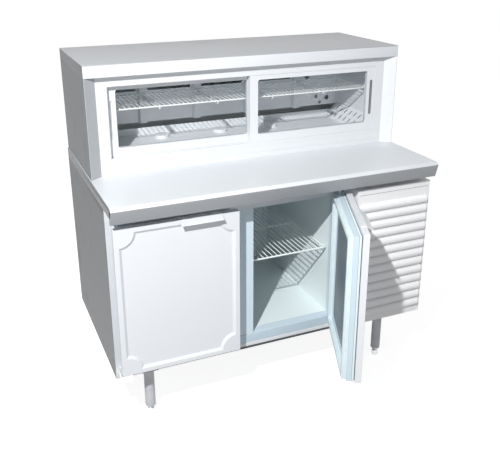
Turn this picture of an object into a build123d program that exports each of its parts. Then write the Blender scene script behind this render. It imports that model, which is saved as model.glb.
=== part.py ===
from build123d import *
import math
import os

# Refrigerated display case: a two-door chilled cabinet with a machine compartment, a worktop, and a low
# chilled display case with sliding glass doors on top. Millimetres, +Z up. The origin is on the floor under
# the centre of the cabinet, and the front faces -Y.

# Overall sizes
WIDTH = 1300.0
CABINET_DEPTH = 686.0
WORKTOP_Z = 930.0
DISPLAY_H = 413.5
HALF_W = WIDTH / 2
TOP_Z = WORKTOP_Z + DISPLAY_H
FACE_Y = -CABINET_DEPTH / 2
BACK_Y = CABINET_DEPTH / 2

# Small clearances
SEAT_GAP = 0.3
PIN_CLEARANCE = 0.05

# Cabinet body
CABINET_BOTTOM_Z = 213.0
NOSE_H = 61.0
SIDE_WALL = 38.0
BACK_WALL = 45.0
FLOOR_WALL = 65.0
ROOF_WALL = 56.0
LINER_T = 1.0
MACHINE_W = 390.0
BULKHEAD_T = 49.0
LEFT_BAY_W = 355.0
CENTRE_BAY_W = 356.0
MULLION_DEPTH = 40.0
SHEET_T = 2.0
STRIP_T = 2.0
STRIP_DEPTH = 40.0

CABINET_TOP_Z = WORKTOP_Z - NOSE_H
BAY_FLOOR_Z = CABINET_BOTTOM_Z + FLOOR_WALL
BAY_CEILING_Z = CABINET_TOP_Z - ROOF_WALL
SIDE_INNER_X = -HALF_W + SIDE_WALL
BAY_LEFT_X = SIDE_INNER_X + LINER_T
BAY_RIGHT_X = HALF_W - MACHINE_W
MULLION_X0 = BAY_LEFT_X + LEFT_BAY_W
MULLION_X1 = BAY_RIGHT_X - CENTRE_BAY_W
BULKHEAD_X0 = BAY_RIGHT_X + LINER_T
BULKHEAD_X1 = BULKHEAD_X0 + BULKHEAD_T
BACK_INNER_Y = BACK_Y - BACK_WALL
BAY_BACK_Y = BACK_INNER_Y - LINER_T
MACHINE_X1 = HALF_W - SHEET_T
MACHINE_FLOOR_Z = CABINET_BOTTOM_Z + SHEET_T

# Worktop
NOSE_OVERHANG = 116.0
NOSE_FACE_DROP = 9.2
NOSE_BEVEL = 15.0
NOSE_RETURN = 15.2
NOSE_LIP_T = 12.0
WORKTOP_T = 40.0

# Louvred cover of the machine compartment
COVER_W = 335.0
COVER_RAISE = 41.0
COVER_DROP = 25.0
COVER_T = 1.5
LOUVRE_COUNT = 13
LOUVRE_HEAD = 59.0
LOUVRE_FOOT = 25.3
LOUVRE_BULGE = 12.0
LOUVRE_SLOT = 7.0
LOUVRE_SIDE_MARGIN = 14.0
LOUVRE_T = 1.2
LOUVRE_LOW_BULGE = 0.55
LOUVRE_MOUTH_H = 0.5
CUT_OVERRUN = 0.01

COVER_X0 = HALF_W - COVER_W
COVER_Z0 = CABINET_BOTTOM_Z + COVER_RAISE
COVER_Z1 = CABINET_TOP_Z - COVER_DROP
LOUVRE_TOP_Z = COVER_Z1 - LOUVRE_HEAD
LOUVRE_PITCH = (LOUVRE_TOP_Z - COVER_Z0 - LOUVRE_FOOT) / LOUVRE_COUNT

# Doors of the cabinet
DOOR_RAISE = 52.0
DOOR_DROP = 28.4
DOOR_SIDE_MARGIN = 11.3
DOOR_COVER_GAP = 27.8
DOORS_GAP = 7.9
DOOR_STANDOFF = 72.7
DOOR_SKIN_T = 23.0
DOOR_NECK_T = 3.0
DOOR_PAN_T = 26.0
DOOR_PAN_RIM = 34.0
DOOR_PAN_RECESS = 5.0
DOOR_PAN_SIDE_INSET = 8.0
DOOR_PAN_TOP_INSET = 12.0
DOOR_PAN_BOTTOM_INSET = 3.0
DOOR_NECK_INSET = 6.0
DOOR_EDGE_R = 1.5
GASKET_FACE_GAP = 2.6
GASKET_W = 18.0
GASKET_SIDE_INSET = 17.0
GASKET_BOTTOM_INSET = 4.0
MOULDING_INSET = 17.0
MOULDING_W = 10.0
MOULDING_DEPTH = 6.5
MOULDING_SCOOP_R = 54.0
DOOR_OPEN_DEG = 67.2

DOOR_Z = CABINET_BOTTOM_Z + DOOR_RAISE
DOOR_H = CABINET_TOP_Z - DOOR_DROP - DOOR_Z
LEFT_DOOR_X = -HALF_W + DOOR_SIDE_MARGIN
DOOR_W = (COVER_X0 - DOOR_COVER_GAP - LEFT_DOOR_X - DOORS_GAP) / 2
CENTRE_DOOR_X = LEFT_DOOR_X + DOOR_W + DOORS_GAP

# Door hinges
PIVOT_INSET = 28.2
PIVOT_SETBACK = 41.9
PIN_R = 3.0
SLEEVE_WALL = 1.75
SLEEVE_LENGTH = 30.0
PIN_ENGAGEMENT = 25.0
BRACKET_T = 3.0
BRACKET_W = 16.0
BRACKET_LEG = 22.0
BRACKET_LOW_OUT = 30.0
BRACKET_LOW_DROP = 25.0
BRACKET_LOW_SETBACK = 6.0
BRACKET_GAP = 3.0

# Door handle, a folded lip on the top edge
HANDLE_W = 156.3
HANDLE_INSET = 67.8
HANDLE_T = 1.6
HANDLE_BACK = 22.7
HANDLE_REACH = 22.8
HANDLE_DROP = 16.5
HANDLE_BEND_R = 3.0
HANDLE_HEM_R = 1.5

# Vent slots of the machine compartment's side and back
VENT_SLOT_L = 132.0
VENT_SLOT_W = 8.0
VENT_SLOT_PITCH = 19.5
SIDE_SLOTS = 8
REAR_SLOTS = 16

# Legs and feet
LEG_R = 20.0
LEG_WALL = 1.5
LEG_SIDE_SETBACK = 132.0
LEG_FRONT_SETBACK = 35.0
LEG_BACK_SETBACK = 53.0
LEG_PLATE = 66.0
LEG_PLATE_T = 4.0
LEG_BOTTOM_Z = 42.0
LEG_PLUG_H = 16.0
FOOT_STEM_R = 6.0
FOOT_TOP_Z = 31.0
FOOT_SOLE_R = 11.5
FOOT_R = 15.0
FOOT_NUT_R = 10.5
FOOT_NUT_H = 6.0
FOOT_TRAVEL = 25.0
FOOT_BELLY = 0.6
FOOT_SHOULDER = (0.88, 0.86)

LEG_X = HALF_W - LEG_SIDE_SETBACK

# Wire shelves of the cabinet
SHELF_RAISE = 299.0
SHELF_SIDE_GAP = 9.0
SHELF_BORDER_R = 3.5
SHELF_WIRE_R = 2.0
SHELF_PITCH = 20.0
SHELF_CORNER_R = 9.0
SHELF_CROSS_SLIMMER = 0.6
CLIP_W = 14.0
CLIP_H = 16.0
POST_W = 24.0
POST_T = 8.0

SHELF_TOP_Z = BAY_FLOOR_Z + SHELF_RAISE

# Display case shell
CASE_INSET = 3.8
CASE_SETBACK = 204.3
CASE_REVEAL = 28.0
CASE_SIDE_WALL = 72.2
CASE_SPLAY = 44.2
CASE_LEDGE = 2.7
CASE_FLOOR_WALL = 56.5
CASE_ROOF_WALL = 44.6
CASE_BACK_WALL = 45.0
CASE_FRAME_DEPTH = 50.7
CASE_STILE_W = 41.0
CASE_SILL_H = 62.0
CASE_HEAD_H = 39.4
CASE_BASE_STRIP_H = 20.0
CASE_BASE_GROOVE = 1.5
TRACK_H = 14.0
TRACK_TOP_H = 16.5
TRACK_GROOVE_W = 4.0
TRACK_GROOVE_BOTTOM = 8.0
TRACK_GROOVE_TOP = 11.0

CASE_X = HALF_W - CASE_INSET
CASE_SIDE_INNER_X = CASE_X - CASE_SIDE_WALL
CASE_SPLAY_X = CASE_X - CASE_SPLAY
CASE_OPENING_X = CASE_SPLAY_X - CASE_STILE_W
CASE_FLOOR_Z = WORKTOP_Z + CASE_FLOOR_WALL
CASE_ROOF_Z = TOP_Z - CASE_ROOF_WALL
CASE_OPENING_Z0 = WORKTOP_Z + CASE_SILL_H
CASE_OPENING_Z1 = CASE_ROOF_Z - CASE_HEAD_H
CASE_FRONT_Y = FACE_Y + CASE_SETBACK
CASE_FRAME_Y = CASE_FRONT_Y + CASE_REVEAL
CASE_FRAME_BACK_Y = CASE_FRAME_Y + CASE_FRAME_DEPTH
CASE_BACK_INNER_Y = BACK_Y - CASE_BACK_WALL

# Sliding glass doors
SLIDER_T = 20.0
SLIDER_SETBACK = 1.9
SLIDER_PITCH_Y = 23.8
SLIDER_GAP = 0.4
SLIDER_MEETING_X = -6.1
SLIDER_OVERLAP = 34.0
SLIDER_STILE = 34.0
SLIDER_TOP_RAIL = 18.0
SLIDER_BOTTOM_RAIL = 32.0
SLIDER_GLASS_T = 6.0
SLIDER_GLASS_R = 9.0
SLIDER_RUNNER_W = 3.0
PULL_W = 12.2
PULL_H = 146.0
PULL_INSET = 10.0
PULL_DEPTH = 6.0
PULL_RAISE = 5.25

SLIDER_FRONT_Y = CASE_FRAME_Y + SLIDER_SETBACK
SLIDER_REAR_Y = SLIDER_FRONT_Y + SLIDER_PITCH_Y
PULL_Z = (CASE_OPENING_Z0 + CASE_OPENING_Z1) / 2 + PULL_RAISE

# Inside of the display case
DUCT_SETBACK = 131.0
DUCT_T = 1.5
DUCT_KICK_H = 28.5
DUCT_SILL_H = 52.5
DUCT_SLOT_RAISE = 183.5
DUCT_SLOT_H = 15.0
DUCT_SLOT_MARGIN = 6.0
DUCT_POST_PITCH = 235.4
DUCT_POST_COUNT = 4
DUCT_POST_W = 37.7
DUCT_POST_DEPTH = 20.0
DUCT_POST_FOLD = 5.0
VENT_HOLES = ((161.0, 185.5, 11.0), (56.0, 83.5, 11.0), (111.0, 92.5, 8.0), (92.0, 64.5, 7.0))
RETURN_RUN = 70.0
RETURN_RISE = 56.5
RETURN_T = 1.5
RETURN_FRONT_GAP = 2.0
RETURN_SLOTS = 6
RETURN_SLOT_L = 24.0
RETURN_SLOT_W = 8.0
RETURN_PITCH_Y = 38.0
RETURN_ROW_PITCH = 38.0
BOSS_R = 28.0
BOSS_H = 12.0
BOSS_FILLET = 2.0
BOSS_PLACES = ((-295.0, 72.0), (-40.0, 77.0), (191.0, 85.0))
DISPLAY_SHELF_RAISE = 179.5
DISPLAY_SHELF_FRONT_GAP = 8.0
DISPLAY_SHELF_SIDE_GAP = 18.0
DISPLAY_SHELF_PITCH = 19.05
DISPLAY_WIRE_R = 1.7
DISPLAY_BORDER_R = 3.0
DISPLAY_BRACKET_W = 6.0
DISPLAY_BRACKET_H = 16.0
DISPLAY_BRACKET_TIP_H = 7.0

DUCT_Y = BACK_Y - DUCT_SETBACK
DUCT_KICK_Z = CASE_FLOOR_Z + DUCT_KICK_H
DUCT_SILL_Z = CASE_FLOOR_Z + DUCT_SILL_H
DUCT_SLOT_Z = CASE_FLOOR_Z + DUCT_SLOT_RAISE
RETURN_FOOT_X = CASE_SIDE_INNER_X - RETURN_RUN
RETURN_TOP_Z = CASE_FLOOR_Z + RETURN_RISE
RETURN_FRONT_Y = CASE_FRAME_BACK_Y + RETURN_FRONT_GAP
DISPLAY_SHELF_Z = CASE_FLOOR_Z + DISPLAY_SHELF_RAISE
DISPLAY_SHELF_FRONT_Y = CASE_FRAME_BACK_Y + DISPLAY_SHELF_FRONT_GAP
DISPLAY_SHELF_X = CASE_SIDE_INNER_X - DISPLAY_SHELF_SIDE_GAP

# Cooling coils and fans
FIN_T = 2.0
FIN_COUNT = 9
TUBE_ROWS = 3
TUBE_R = 4.5
DISPLAY_COIL_L = 420.0
DISPLAY_COIL_H = 120.0
DISPLAY_COIL_D = 56.0
DISPLAY_COIL_RAISE = 61.5
DISPLAY_COIL_X = -20.0
DISPLAY_FAN_X = 280.0
DISPLAY_FAN_R = 38.0
COOLER_SIDE_GAP = 30.0
COOLER_W = 300.0
COOLER_X = BAY_RIGHT_X - COOLER_SIDE_GAP - COOLER_W / 2
COOLER_H = 120.0
COOLER_D = 220.0
COOLER_FAN_R = 46.0
COOLER_MOUTH_GAP = 4.0
COOLER_COIL_D = 88.0
INLET_SLOTS = 5
INLET_PITCH = 56.5
INLET_SLOT_L = 38.9
CONDENSER_W = 250.0
CONDENSER_H = 260.0
CONDENSER_D = 50.0
CONDENSER_SETBACK = 108.0
CONDENSER_FAN_R = 95.0
MOTOR_R = 26.0
MOTOR_L = 46.0
MOTOR_SHAFT_R = 4.0
BLADE_COUNT = 5
BLADE_T = 2.0
BLADE_PITCH_DEG = 28.0
BLADE_CHORD = 0.55
HUB_WALL = 8.0
FAN_GAP = 14.0
STRAP_W = 16.0

DISPLAY_COIL_Z = CASE_FLOOR_Z + DISPLAY_COIL_RAISE
CONDENSER_Y = FACE_Y + CONDENSER_SETBACK

# Compressor
COMPRESSOR_SIDE_SETBACK = 170.0
COMPRESSOR_BACK_SETBACK = 273.0
COMPRESSOR_R = 88.0
COMPRESSOR_H = 175.0
COMPRESSOR_CROWN_R = 38.0
COMPRESSOR_BASE = 190.0
COMPRESSOR_BASE_T = 3.0
MOUNT_R = 12.0
MOUNT_H = 18.0
MOUNT_INSET = 18.0
MOUNT_WAIST = 0.75
SHELL_LIFT = 6.0

COMPRESSOR_X = HALF_W - COMPRESSOR_SIDE_SETBACK
COMPRESSOR_Y = BACK_Y - COMPRESSOR_BACK_SETBACK

# Pipes, controls and power inlet
PIPE_R = 5.0
PIPE_BEND_R = 22.0
DRIER_R = 11.0
DRIER_L = 90.0
DRIER_CAP_R = 6.6
CONTROL_W = 110.0
CONTROL_D = 60.0
CONTROL_H = 130.0
CONTROL_R = 6.0
CONTROL_BACK_GAP = 40.0
CONTROL_DROP = 140.0
KNOB_R = 14.0
KNOB_L = 12.0
GLAND_R = 12.0
GLAND_BORE_R = 5.0
GLAND_L = 22.0
GLAND_RAISE = 46.0
GLAND_SIDE_SETBACK = 50.0

GLAND_X = HALF_W - GLAND_SIDE_SETBACK
GLAND_Z = COVER_Z0 + GLAND_RAISE


def block(x0, x1, y0, y1, z0, z1):
    """A box between two corners."""
    size = (x1 - x0, y1 - y0, z1 - z0)
    return Pos((x0 + x1) / 2, (y0 + y1) / 2, (z0 + z1) / 2) * Box(*size)


def cylinder_z(x, y, z0, z1, radius):
    """An upright cylinder."""
    return Pos(x, y, (z0 + z1) / 2) * Cylinder(radius, z1 - z0)


def cylinder_y(x, z, y0, y1, radius):
    """A cylinder that runs front to back."""
    return Pos(x, (y0 + y1) / 2, z) * Rot(90, 0, 0) * Cylinder(radius, y1 - y0)


def cylinder_x(y, z, x0, x1, radius):
    """A cylinder that runs left to right."""
    return Pos((x0 + x1) / 2, y, z) * Rot(0, 90, 0) * Cylinder(radius, x1 - x0)


def run_along_x(face, x0, x1):
    """A profile drawn in (Y, Z), run from x0 to x1."""
    return extrude(Plane.YZ.offset(x0) * face, x1 - x0)


def run_up(face, z0, z1):
    """A profile drawn in (X, Y), run from z0 to z1."""
    return extrude(Plane.XY.offset(z0) * face, z1 - z0)


def run_back(face, y0, y1):
    """A profile drawn in (X, Z), run from y0 back to y1."""
    plane = Plane(origin=(0, y0, 0), x_dir=(1, 0, 0), z_dir=(0, -1, 0))
    return extrude(plane * face, -(y1 - y0))


def outline(*points):
    """A face inside a closed run of straight lines."""
    return make_face(Polyline(*points, close=True))


def rectangle(x0, x1, y0, y1):
    """A flat rectangle between two corners."""
    return Pos((x0 + x1) / 2, (y0 + y1) / 2) * Rectangle(x1 - x0, y1 - y0)


def pattern(places, face):
    """The same flat shape at several places, as one sketch."""
    return Sketch() + [place * face for place in places]


def vertical_edges(part):
    """The edges that run up and down."""
    return part.edges().filter_by(Axis.Z)


def mirrored_x(part):
    """The same part on the other side."""
    return mirror(part, about=Plane.YZ)


def save(node, *solids):
    """Write one node, which may hold several separate solids."""
    found = [solid for item in solids for solid in item.solids()]
    shape = found[0] if len(found) == 1 else Compound(children=found)
    export_step(shape, f"parts/{node}.step")


# Cabinet body


def make_cabinet_side_left():
    """Insulated left wall."""
    return block(-HALF_W, SIDE_INNER_X, FACE_Y, BACK_Y, CABINET_BOTTOM_Z, CABINET_TOP_Z)


def make_cabinet_floor():
    """Insulated floor slab under both bays, up to the machine compartment."""
    return block(SIDE_INNER_X, BULKHEAD_X1, FACE_Y, BACK_Y, CABINET_BOTTOM_Z, BAY_FLOOR_Z - LINER_T)


def make_cabinet_roof():
    """Insulated roof slab, which also covers the machine compartment."""
    return block(SIDE_INNER_X, MACHINE_X1, FACE_Y, BACK_Y, BAY_CEILING_Z + LINER_T, CABINET_TOP_Z)


def make_cabinet_back():
    """Insulated back wall between the side wall and the bulkhead."""
    z0 = BAY_FLOOR_Z - LINER_T
    return block(SIDE_INNER_X, BULKHEAD_X0, BACK_INNER_Y, BACK_Y, z0, BAY_CEILING_Z + LINER_T)


def make_bulkhead():
    """Insulated wall between the right bay and the machine compartment."""
    z0 = BAY_FLOOR_Z - LINER_T
    return block(BULKHEAD_X0, BULKHEAD_X1, FACE_Y, BACK_Y, z0, BAY_CEILING_Z + LINER_T)


def make_face_mullion():
    """Post between the two door openings."""
    z0 = BAY_FLOOR_Z
    post = block(MULLION_X0, MULLION_X1, FACE_Y, FACE_Y + MULLION_DEPTH, z0, BAY_CEILING_Z)
    rear = vertical_edges(post).group_by(Axis.Y)[-1]
    return chamfer(rear, POST_T)


def make_cabinet_liner():
    """Thin inner lining of both bays, open at the front behind the opening strips."""
    y0 = FACE_Y + STRIP_DEPTH
    outer = block(SIDE_INNER_X, BULKHEAD_X0, y0, BACK_INNER_Y, BAY_FLOOR_Z - LINER_T, BAY_CEILING_Z + LINER_T)
    inner = block(BAY_LEFT_X, BAY_RIGHT_X, y0, BAY_BACK_Y, BAY_FLOOR_Z, BAY_CEILING_Z)
    return outer - inner


def make_breaker_strips():
    """Plastic strips around the edges of the two door openings."""
    z0 = BAY_FLOOR_Z
    z1 = BAY_CEILING_Z
    strips = []
    for x0, x1 in ((BAY_LEFT_X, MULLION_X0), (MULLION_X1, BAY_RIGHT_X)):
        ring = rectangle(x0, x1, z0, z1)
        ring -= rectangle(x0 + STRIP_T, x1 - STRIP_T, z0 + STRIP_T, z1 - STRIP_T)
        strips.append(run_back(ring, FACE_Y, FACE_Y + STRIP_DEPTH))
    return strips


def make_front_fillers():
    """Frame edges in front of the lining, so that the strips have a wall to sit on."""
    y1 = FACE_Y + STRIP_DEPTH
    z0 = BAY_FLOOR_Z - LINER_T
    z1 = BAY_CEILING_Z + LINER_T
    return {
        "left": block(SIDE_INNER_X, BAY_LEFT_X, FACE_Y, y1, z0, z1),
        "right": block(BAY_RIGHT_X, BULKHEAD_X0, FACE_Y, y1, z0, z1),
        "floor": block(BAY_LEFT_X, BAY_RIGHT_X, FACE_Y, y1, z0, BAY_FLOOR_Z),
        "roof": block(BAY_LEFT_X, BAY_RIGHT_X, FACE_Y, y1, BAY_CEILING_Z, z1),
    }


def make_worktop():
    """Worktop with a folded front nose, one profile run across the whole width."""
    front = FACE_Y - NOSE_OVERHANG
    nose = [
        (BACK_Y, WORKTOP_Z),
        (front + NOSE_BEVEL, WORKTOP_Z),
        (front, WORKTOP_Z - NOSE_FACE_DROP),
        (front + NOSE_RETURN, CABINET_TOP_Z),
        (front + NOSE_RETURN + NOSE_LIP_T, CABINET_TOP_Z),
        (front + NOSE_RETURN + NOSE_LIP_T, WORKTOP_Z - WORKTOP_T),
        (FACE_Y, WORKTOP_Z - WORKTOP_T),
        (FACE_Y, CABINET_TOP_Z),
        (BACK_Y, CABINET_TOP_Z),
    ]
    return run_along_x(outline(*nose), -HALF_W, HALF_W)


# Machine compartment


def make_machine_base():
    """Sheet tray under the machine compartment, with an upstand at the back."""
    tray = block(BULKHEAD_X1, MACHINE_X1, FACE_Y, BACK_Y, CABINET_BOTTOM_Z, MACHINE_FLOOR_Z)
    upstand = block(BULKHEAD_X1, MACHINE_X1, BACK_Y - SHEET_T, BACK_Y, MACHINE_FLOOR_Z, COVER_Z0)
    front = block(BULKHEAD_X1, MACHINE_X1, FACE_Y, FACE_Y + SHEET_T, MACHINE_FLOOR_Z, COVER_Z0)
    return tray + upstand + front


def make_cabinet_side_right():
    """Sheet side of the machine compartment with folded front and back edges and a vent field."""
    fold = SIDE_WALL / 2
    x0 = HALF_W - SHEET_T
    panel = block(x0, HALF_W, FACE_Y, BACK_Y, CABINET_BOTTOM_Z, CABINET_TOP_Z)
    for y0 in (FACE_Y, BACK_Y - SHEET_T):
        z1 = BAY_CEILING_Z + LINER_T
        panel += block(x0 - fold, x0, y0, y0 + SHEET_T, COVER_Z0, z1)
    slot = SlotOverall(VENT_SLOT_L, VENT_SLOT_W)
    grid = GridLocations(1, VENT_SLOT_PITCH, 1, SIDE_SLOTS)
    field = Pos(BACK_Y / 2, CABINET_TOP_Z / 2) * pattern(grid, slot)
    return panel - run_along_x(field, x0, HALF_W)


def make_rear_grille():
    """Slotted sheet across the back of the machine compartment."""
    fold = SIDE_WALL / 2
    x0 = BULKHEAD_X1
    x1 = MACHINE_X1 - fold
    z1 = BAY_CEILING_Z + LINER_T
    sheet = block(x0, x1, BACK_Y - SHEET_T, BACK_Y, COVER_Z0, z1)
    slot = SlotOverall(x1 - x0 - 2 * fold, VENT_SLOT_W)
    middle = Pos((x0 + x1) / 2, (COVER_Z0 + z1) / 2)
    field = middle * pattern(GridLocations(1, VENT_SLOT_PITCH, 1, REAR_SLOTS), slot)
    port = Pos(GLAND_X, GLAND_Z) * Circle(GLAND_R)
    return sheet - run_back(field, BACK_Y - SHEET_T, BACK_Y) - run_back(port, BACK_Y - SHEET_T, BACK_Y)


def louvre_profile(top_z, thickness_in):
    """Half-round louvre section in (Y, Z), bulging forward from the cover's face."""
    face = FACE_Y - DOOR_STANDOFF
    low_z = top_z - LOUVRE_PITCH + LOUVRE_SLOT
    bulge = LOUVRE_BULGE - thickness_in
    top = (face, top_z - thickness_in)
    middle = (face - bulge, (top_z + low_z) / 2)
    low = (face - bulge * LOUVRE_LOW_BULGE, low_z)
    arc = ThreePointArc(top, middle, low)
    back = Polyline(low, (face + COVER_T, low_z), (face + COVER_T, top_z - thickness_in), top)
    return make_face(arc + back)


def make_louvre_panel():
    """Cover of the machine compartment: a folded pan with pressed half-round louvres."""
    face = FACE_Y - DOOR_STANDOFF
    outer = block(COVER_X0, HALF_W, face, FACE_Y, COVER_Z0, COVER_Z1)
    inner = block(COVER_X0 + COVER_T, HALF_W - COVER_T, face + COVER_T, FACE_Y, COVER_Z0 + COVER_T,
                  COVER_Z1 - COVER_T)
    panel = outer - inner
    x0 = COVER_X0 + LOUVRE_SIDE_MARGIN
    x1 = HALF_W - LOUVRE_SIDE_MARGIN
    for index in range(LOUVRE_COUNT):
        top_z = LOUVRE_TOP_Z - index * LOUVRE_PITCH
        hood = run_along_x(louvre_profile(top_z, 0.0), x0, x1)
        hollow = run_along_x(louvre_profile(top_z, LOUVRE_T), x0 + LOUVRE_T, x1 - LOUVRE_T)
        low_z = top_z - LOUVRE_PITCH + LOUVRE_SLOT
        mouth = block(x0 + LOUVRE_T, x1 - LOUVRE_T, face - LOUVRE_BULGE, face + COVER_T, low_z - CUT_OVERRUN,
                      low_z + LOUVRE_MOUTH_H)
        panel = panel + hood - hollow - mouth
    return panel


def place_around(centre_x, centre_y, offset):
    """The four places at the corners of a square."""
    return [(centre_x + sx * offset, centre_y + sy * offset) for sx in (-1, 1) for sy in (-1, 1)]


def make_compressor():
    """Sealed compressor can on a square foot plate."""
    plate_z = MACHINE_FLOOR_Z + MOUNT_H
    square = RectangleRounded(COMPRESSOR_BASE, COMPRESSOR_BASE, MOUNT_R)
    plate = run_up(Pos(COMPRESSOR_X, COMPRESSOR_Y) * square, plate_z, plate_z + COMPRESSOR_BASE_T)
    z0 = plate_z + COMPRESSOR_BASE_T
    z1 = z0 + COMPRESSOR_H
    can = cylinder_z(COMPRESSOR_X, COMPRESSOR_Y, z0, z1, COMPRESSOR_R)
    can = fillet(can.edges().group_by(Axis.Z)[-1], COMPRESSOR_CROWN_R)
    belt = cylinder_z(COMPRESSOR_X, COMPRESSOR_Y, z0 + COMPRESSOR_H / 2, z0 + COMPRESSOR_H / 2 + SHELL_LIFT,
                      COMPRESSOR_R + BRACKET_T)
    return plate + can + belt


def make_compressor_mounts():
    """Rubber mounts under the compressor's foot plate."""
    places = place_around(COMPRESSOR_X, COMPRESSOR_Y, COMPRESSOR_BASE / 2 - MOUNT_INSET)
    waist = (MOUNT_R * MOUNT_WAIST, MOUNT_H / 2)
    profile = outline((0, 0), (MOUNT_R, 0), waist, (MOUNT_R, MOUNT_H), (0, MOUNT_H))
    mount = revolve(Plane.XZ * profile, Axis.Z)
    return [Pos(x, y, MACHINE_FLOOR_Z) * mount for x, y in places]


def coil_block(x0, y0, z0, length, depth, height):
    """Finned coil: end plates, evenly spaced fins and the tubes through them, fused."""
    step = (length - FIN_T) / (FIN_COUNT - 1)
    coil = None
    for index in range(FIN_COUNT):
        x = x0 + index * step
        fin = block(x, x + FIN_T, y0, y0 + depth, z0, z0 + height)
        coil = fin if coil is None else coil + fin
    for row in range(TUBE_ROWS):
        z = z0 + height * (row + 0.5) / TUBE_ROWS
        coil += cylinder_x(y0 + depth / 2, z, x0, x0 + length, TUBE_R)
    return coil


def make_condenser_coil():
    """Condenser standing behind the louvres."""
    x0 = (BULKHEAD_X1 + MACHINE_X1 - CONDENSER_W) / 2
    return coil_block(x0, CONDENSER_Y, MACHINE_FLOOR_Z, CONDENSER_W, CONDENSER_D, CONDENSER_H)


def hub_length(radius):
    """Length of a fan's hub, a little more than the depth that its slanted blades sweep."""
    depth = radius * BLADE_CHORD * math.sin(math.radians(BLADE_PITCH_DEG))
    return depth + 2 * BLADE_T


def fan_blades(x, motor_y, z, radius):
    """Hub with slanted blades in front of a motor, bored for the motor's shaft."""
    hub_r = MOTOR_SHAFT_R + PIN_CLEARANCE + HUB_WALL
    length = hub_length(radius)
    rotor = Cylinder(hub_r, length)
    root = hub_r - BLADE_T
    span = radius - root
    blade = Pos(root + span / 2, 0, 0) * Rot(BLADE_PITCH_DEG, 0, 0) * Box(span, radius * BLADE_CHORD, BLADE_T)
    blade &= Cylinder(radius, length)
    for index in range(BLADE_COUNT):
        rotor += Rot(0, 0, index * 360 / BLADE_COUNT) * blade
    rotor -= Cylinder(MOTOR_SHAFT_R + PIN_CLEARANCE, length)
    return Pos(x, motor_y - SEAT_GAP - length / 2, z) * Rot(90, 0, 0) * rotor


def fan_motor(x, y, z, radius, bracket_half):
    """Round motor with its shaft towards -Y, on a cross strap."""
    body = cylinder_y(x, z, y, y + MOTOR_L, MOTOR_R)
    shaft = cylinder_y(x, z, y - hub_length(radius) - SEAT_GAP, y, MOTOR_SHAFT_R)
    strap_y = y + MOTOR_L
    half = STRAP_W / 2
    strap = block(x - bracket_half, x + bracket_half, strap_y, strap_y + BRACKET_T, z - half, z + half)
    return body + shaft + strap


def condenser_fan_place():
    """Shaft end of the condenser fan's motor: x, motor face y, z."""
    x = (BULKHEAD_X1 + MACHINE_X1) / 2
    y = CONDENSER_Y + CONDENSER_D + FAN_GAP + hub_length(CONDENSER_FAN_R)
    return x, y, MACHINE_FLOOR_Z + CONDENSER_H / 2


def make_condenser_fan_motor():
    """Condenser fan motor on a bracket that stands on the tray and ties to the coil."""
    x, y, z = condenser_fan_place()
    reach = CONDENSER_FAN_R + FAN_GAP
    motor = fan_motor(x, y, z, CONDENSER_FAN_R, reach)
    strap_y = y + MOTOR_L
    for side in (-1, 1):
        leg_x = x + side * reach
        x0, x1 = sorted((leg_x, leg_x + side * BRACKET_T))
        motor += block(x0, x1, strap_y - BRACKET_LEG, strap_y + BRACKET_T, MACHINE_FLOOR_Z, z + STRAP_W / 2)
    return motor


def make_condenser_fan():
    """Condenser fan blades."""
    return fan_blades(*condenser_fan_place(), CONDENSER_FAN_R)


def pipe(*points):
    """Copper pipe along straight runs joined by round bends."""
    path = FilletPolyline(*points, radius=PIPE_BEND_R)
    start = Plane(origin=path @ 0, z_dir=path % 0)
    return sweep(start * Circle(PIPE_R), path)


def make_refrigerant_lines():
    """Copper pipes between compressor, condenser and the coils, with the filter drier on the bulkhead."""
    can_top = MACHINE_FLOOR_Z + MOUNT_H + COMPRESSOR_BASE_T + COMPRESSOR_H
    coil_top = MACHINE_FLOOR_Z + CONDENSER_H
    wall_x = BULKHEAD_X1 + DRIER_R
    coil_y = CONDENSER_Y + CONDENSER_D / 2
    high = coil_top + 4 * PIPE_BEND_R
    out_x = COMPRESSOR_X + COMPRESSOR_R / 3
    discharge = pipe((out_x, COMPRESSOR_Y, can_top), (out_x, COMPRESSOR_Y, high), (out_x, coil_y, high),
                     (out_x, coil_y, coil_top))
    back_x = COMPRESSOR_X - COMPRESSOR_R / 2
    ceiling = BAY_CEILING_Z + LINER_T
    suction = pipe((back_x, COMPRESSOR_Y, can_top), (back_x, COMPRESSOR_Y, high),
                   (wall_x, COMPRESSOR_Y, high), (wall_x, COMPRESSOR_Y, ceiling))
    drier_y = COMPRESSOR_Y - DRIER_L
    drier = cylinder_z(wall_x, drier_y, high, high + DRIER_L, DRIER_R)
    caps = drier.edges().group_by(Axis.Z)
    drier = fillet(caps[0] + caps[-1], DRIER_CAP_R)
    low = coil_top + 2 * PIPE_BEND_R
    liquid = pipe((wall_x, drier_y, high + PIPE_R), (wall_x, drier_y, low), (back_x, coil_y, low),
                  (back_x, coil_y, coil_top))
    riser = cylinder_z(wall_x, drier_y, high + DRIER_L - PIPE_R, ceiling, PIPE_R)
    return [discharge, suction, drier + liquid + riser]


def make_control_box():
    """Electrical box on the machine compartment's right side."""
    x1 = MACHINE_X1
    y0 = BACK_Y - CONTROL_BACK_GAP - CONTROL_W
    z0 = CABINET_TOP_Z - CONTROL_DROP - CONTROL_H
    box = block(x1 - CONTROL_D, x1, y0, y0 + CONTROL_W, z0, z0 + CONTROL_H)
    lid_edges = box.edges().group_by(Axis.X)[0]
    box = fillet(lid_edges, CONTROL_R)
    face_x = x1 - CONTROL_D
    knob = cylinder_x(y0 + CONTROL_W / 2, z0 + CONTROL_H / 2, face_x - KNOB_L, face_x, KNOB_R)
    return box + knob


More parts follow.
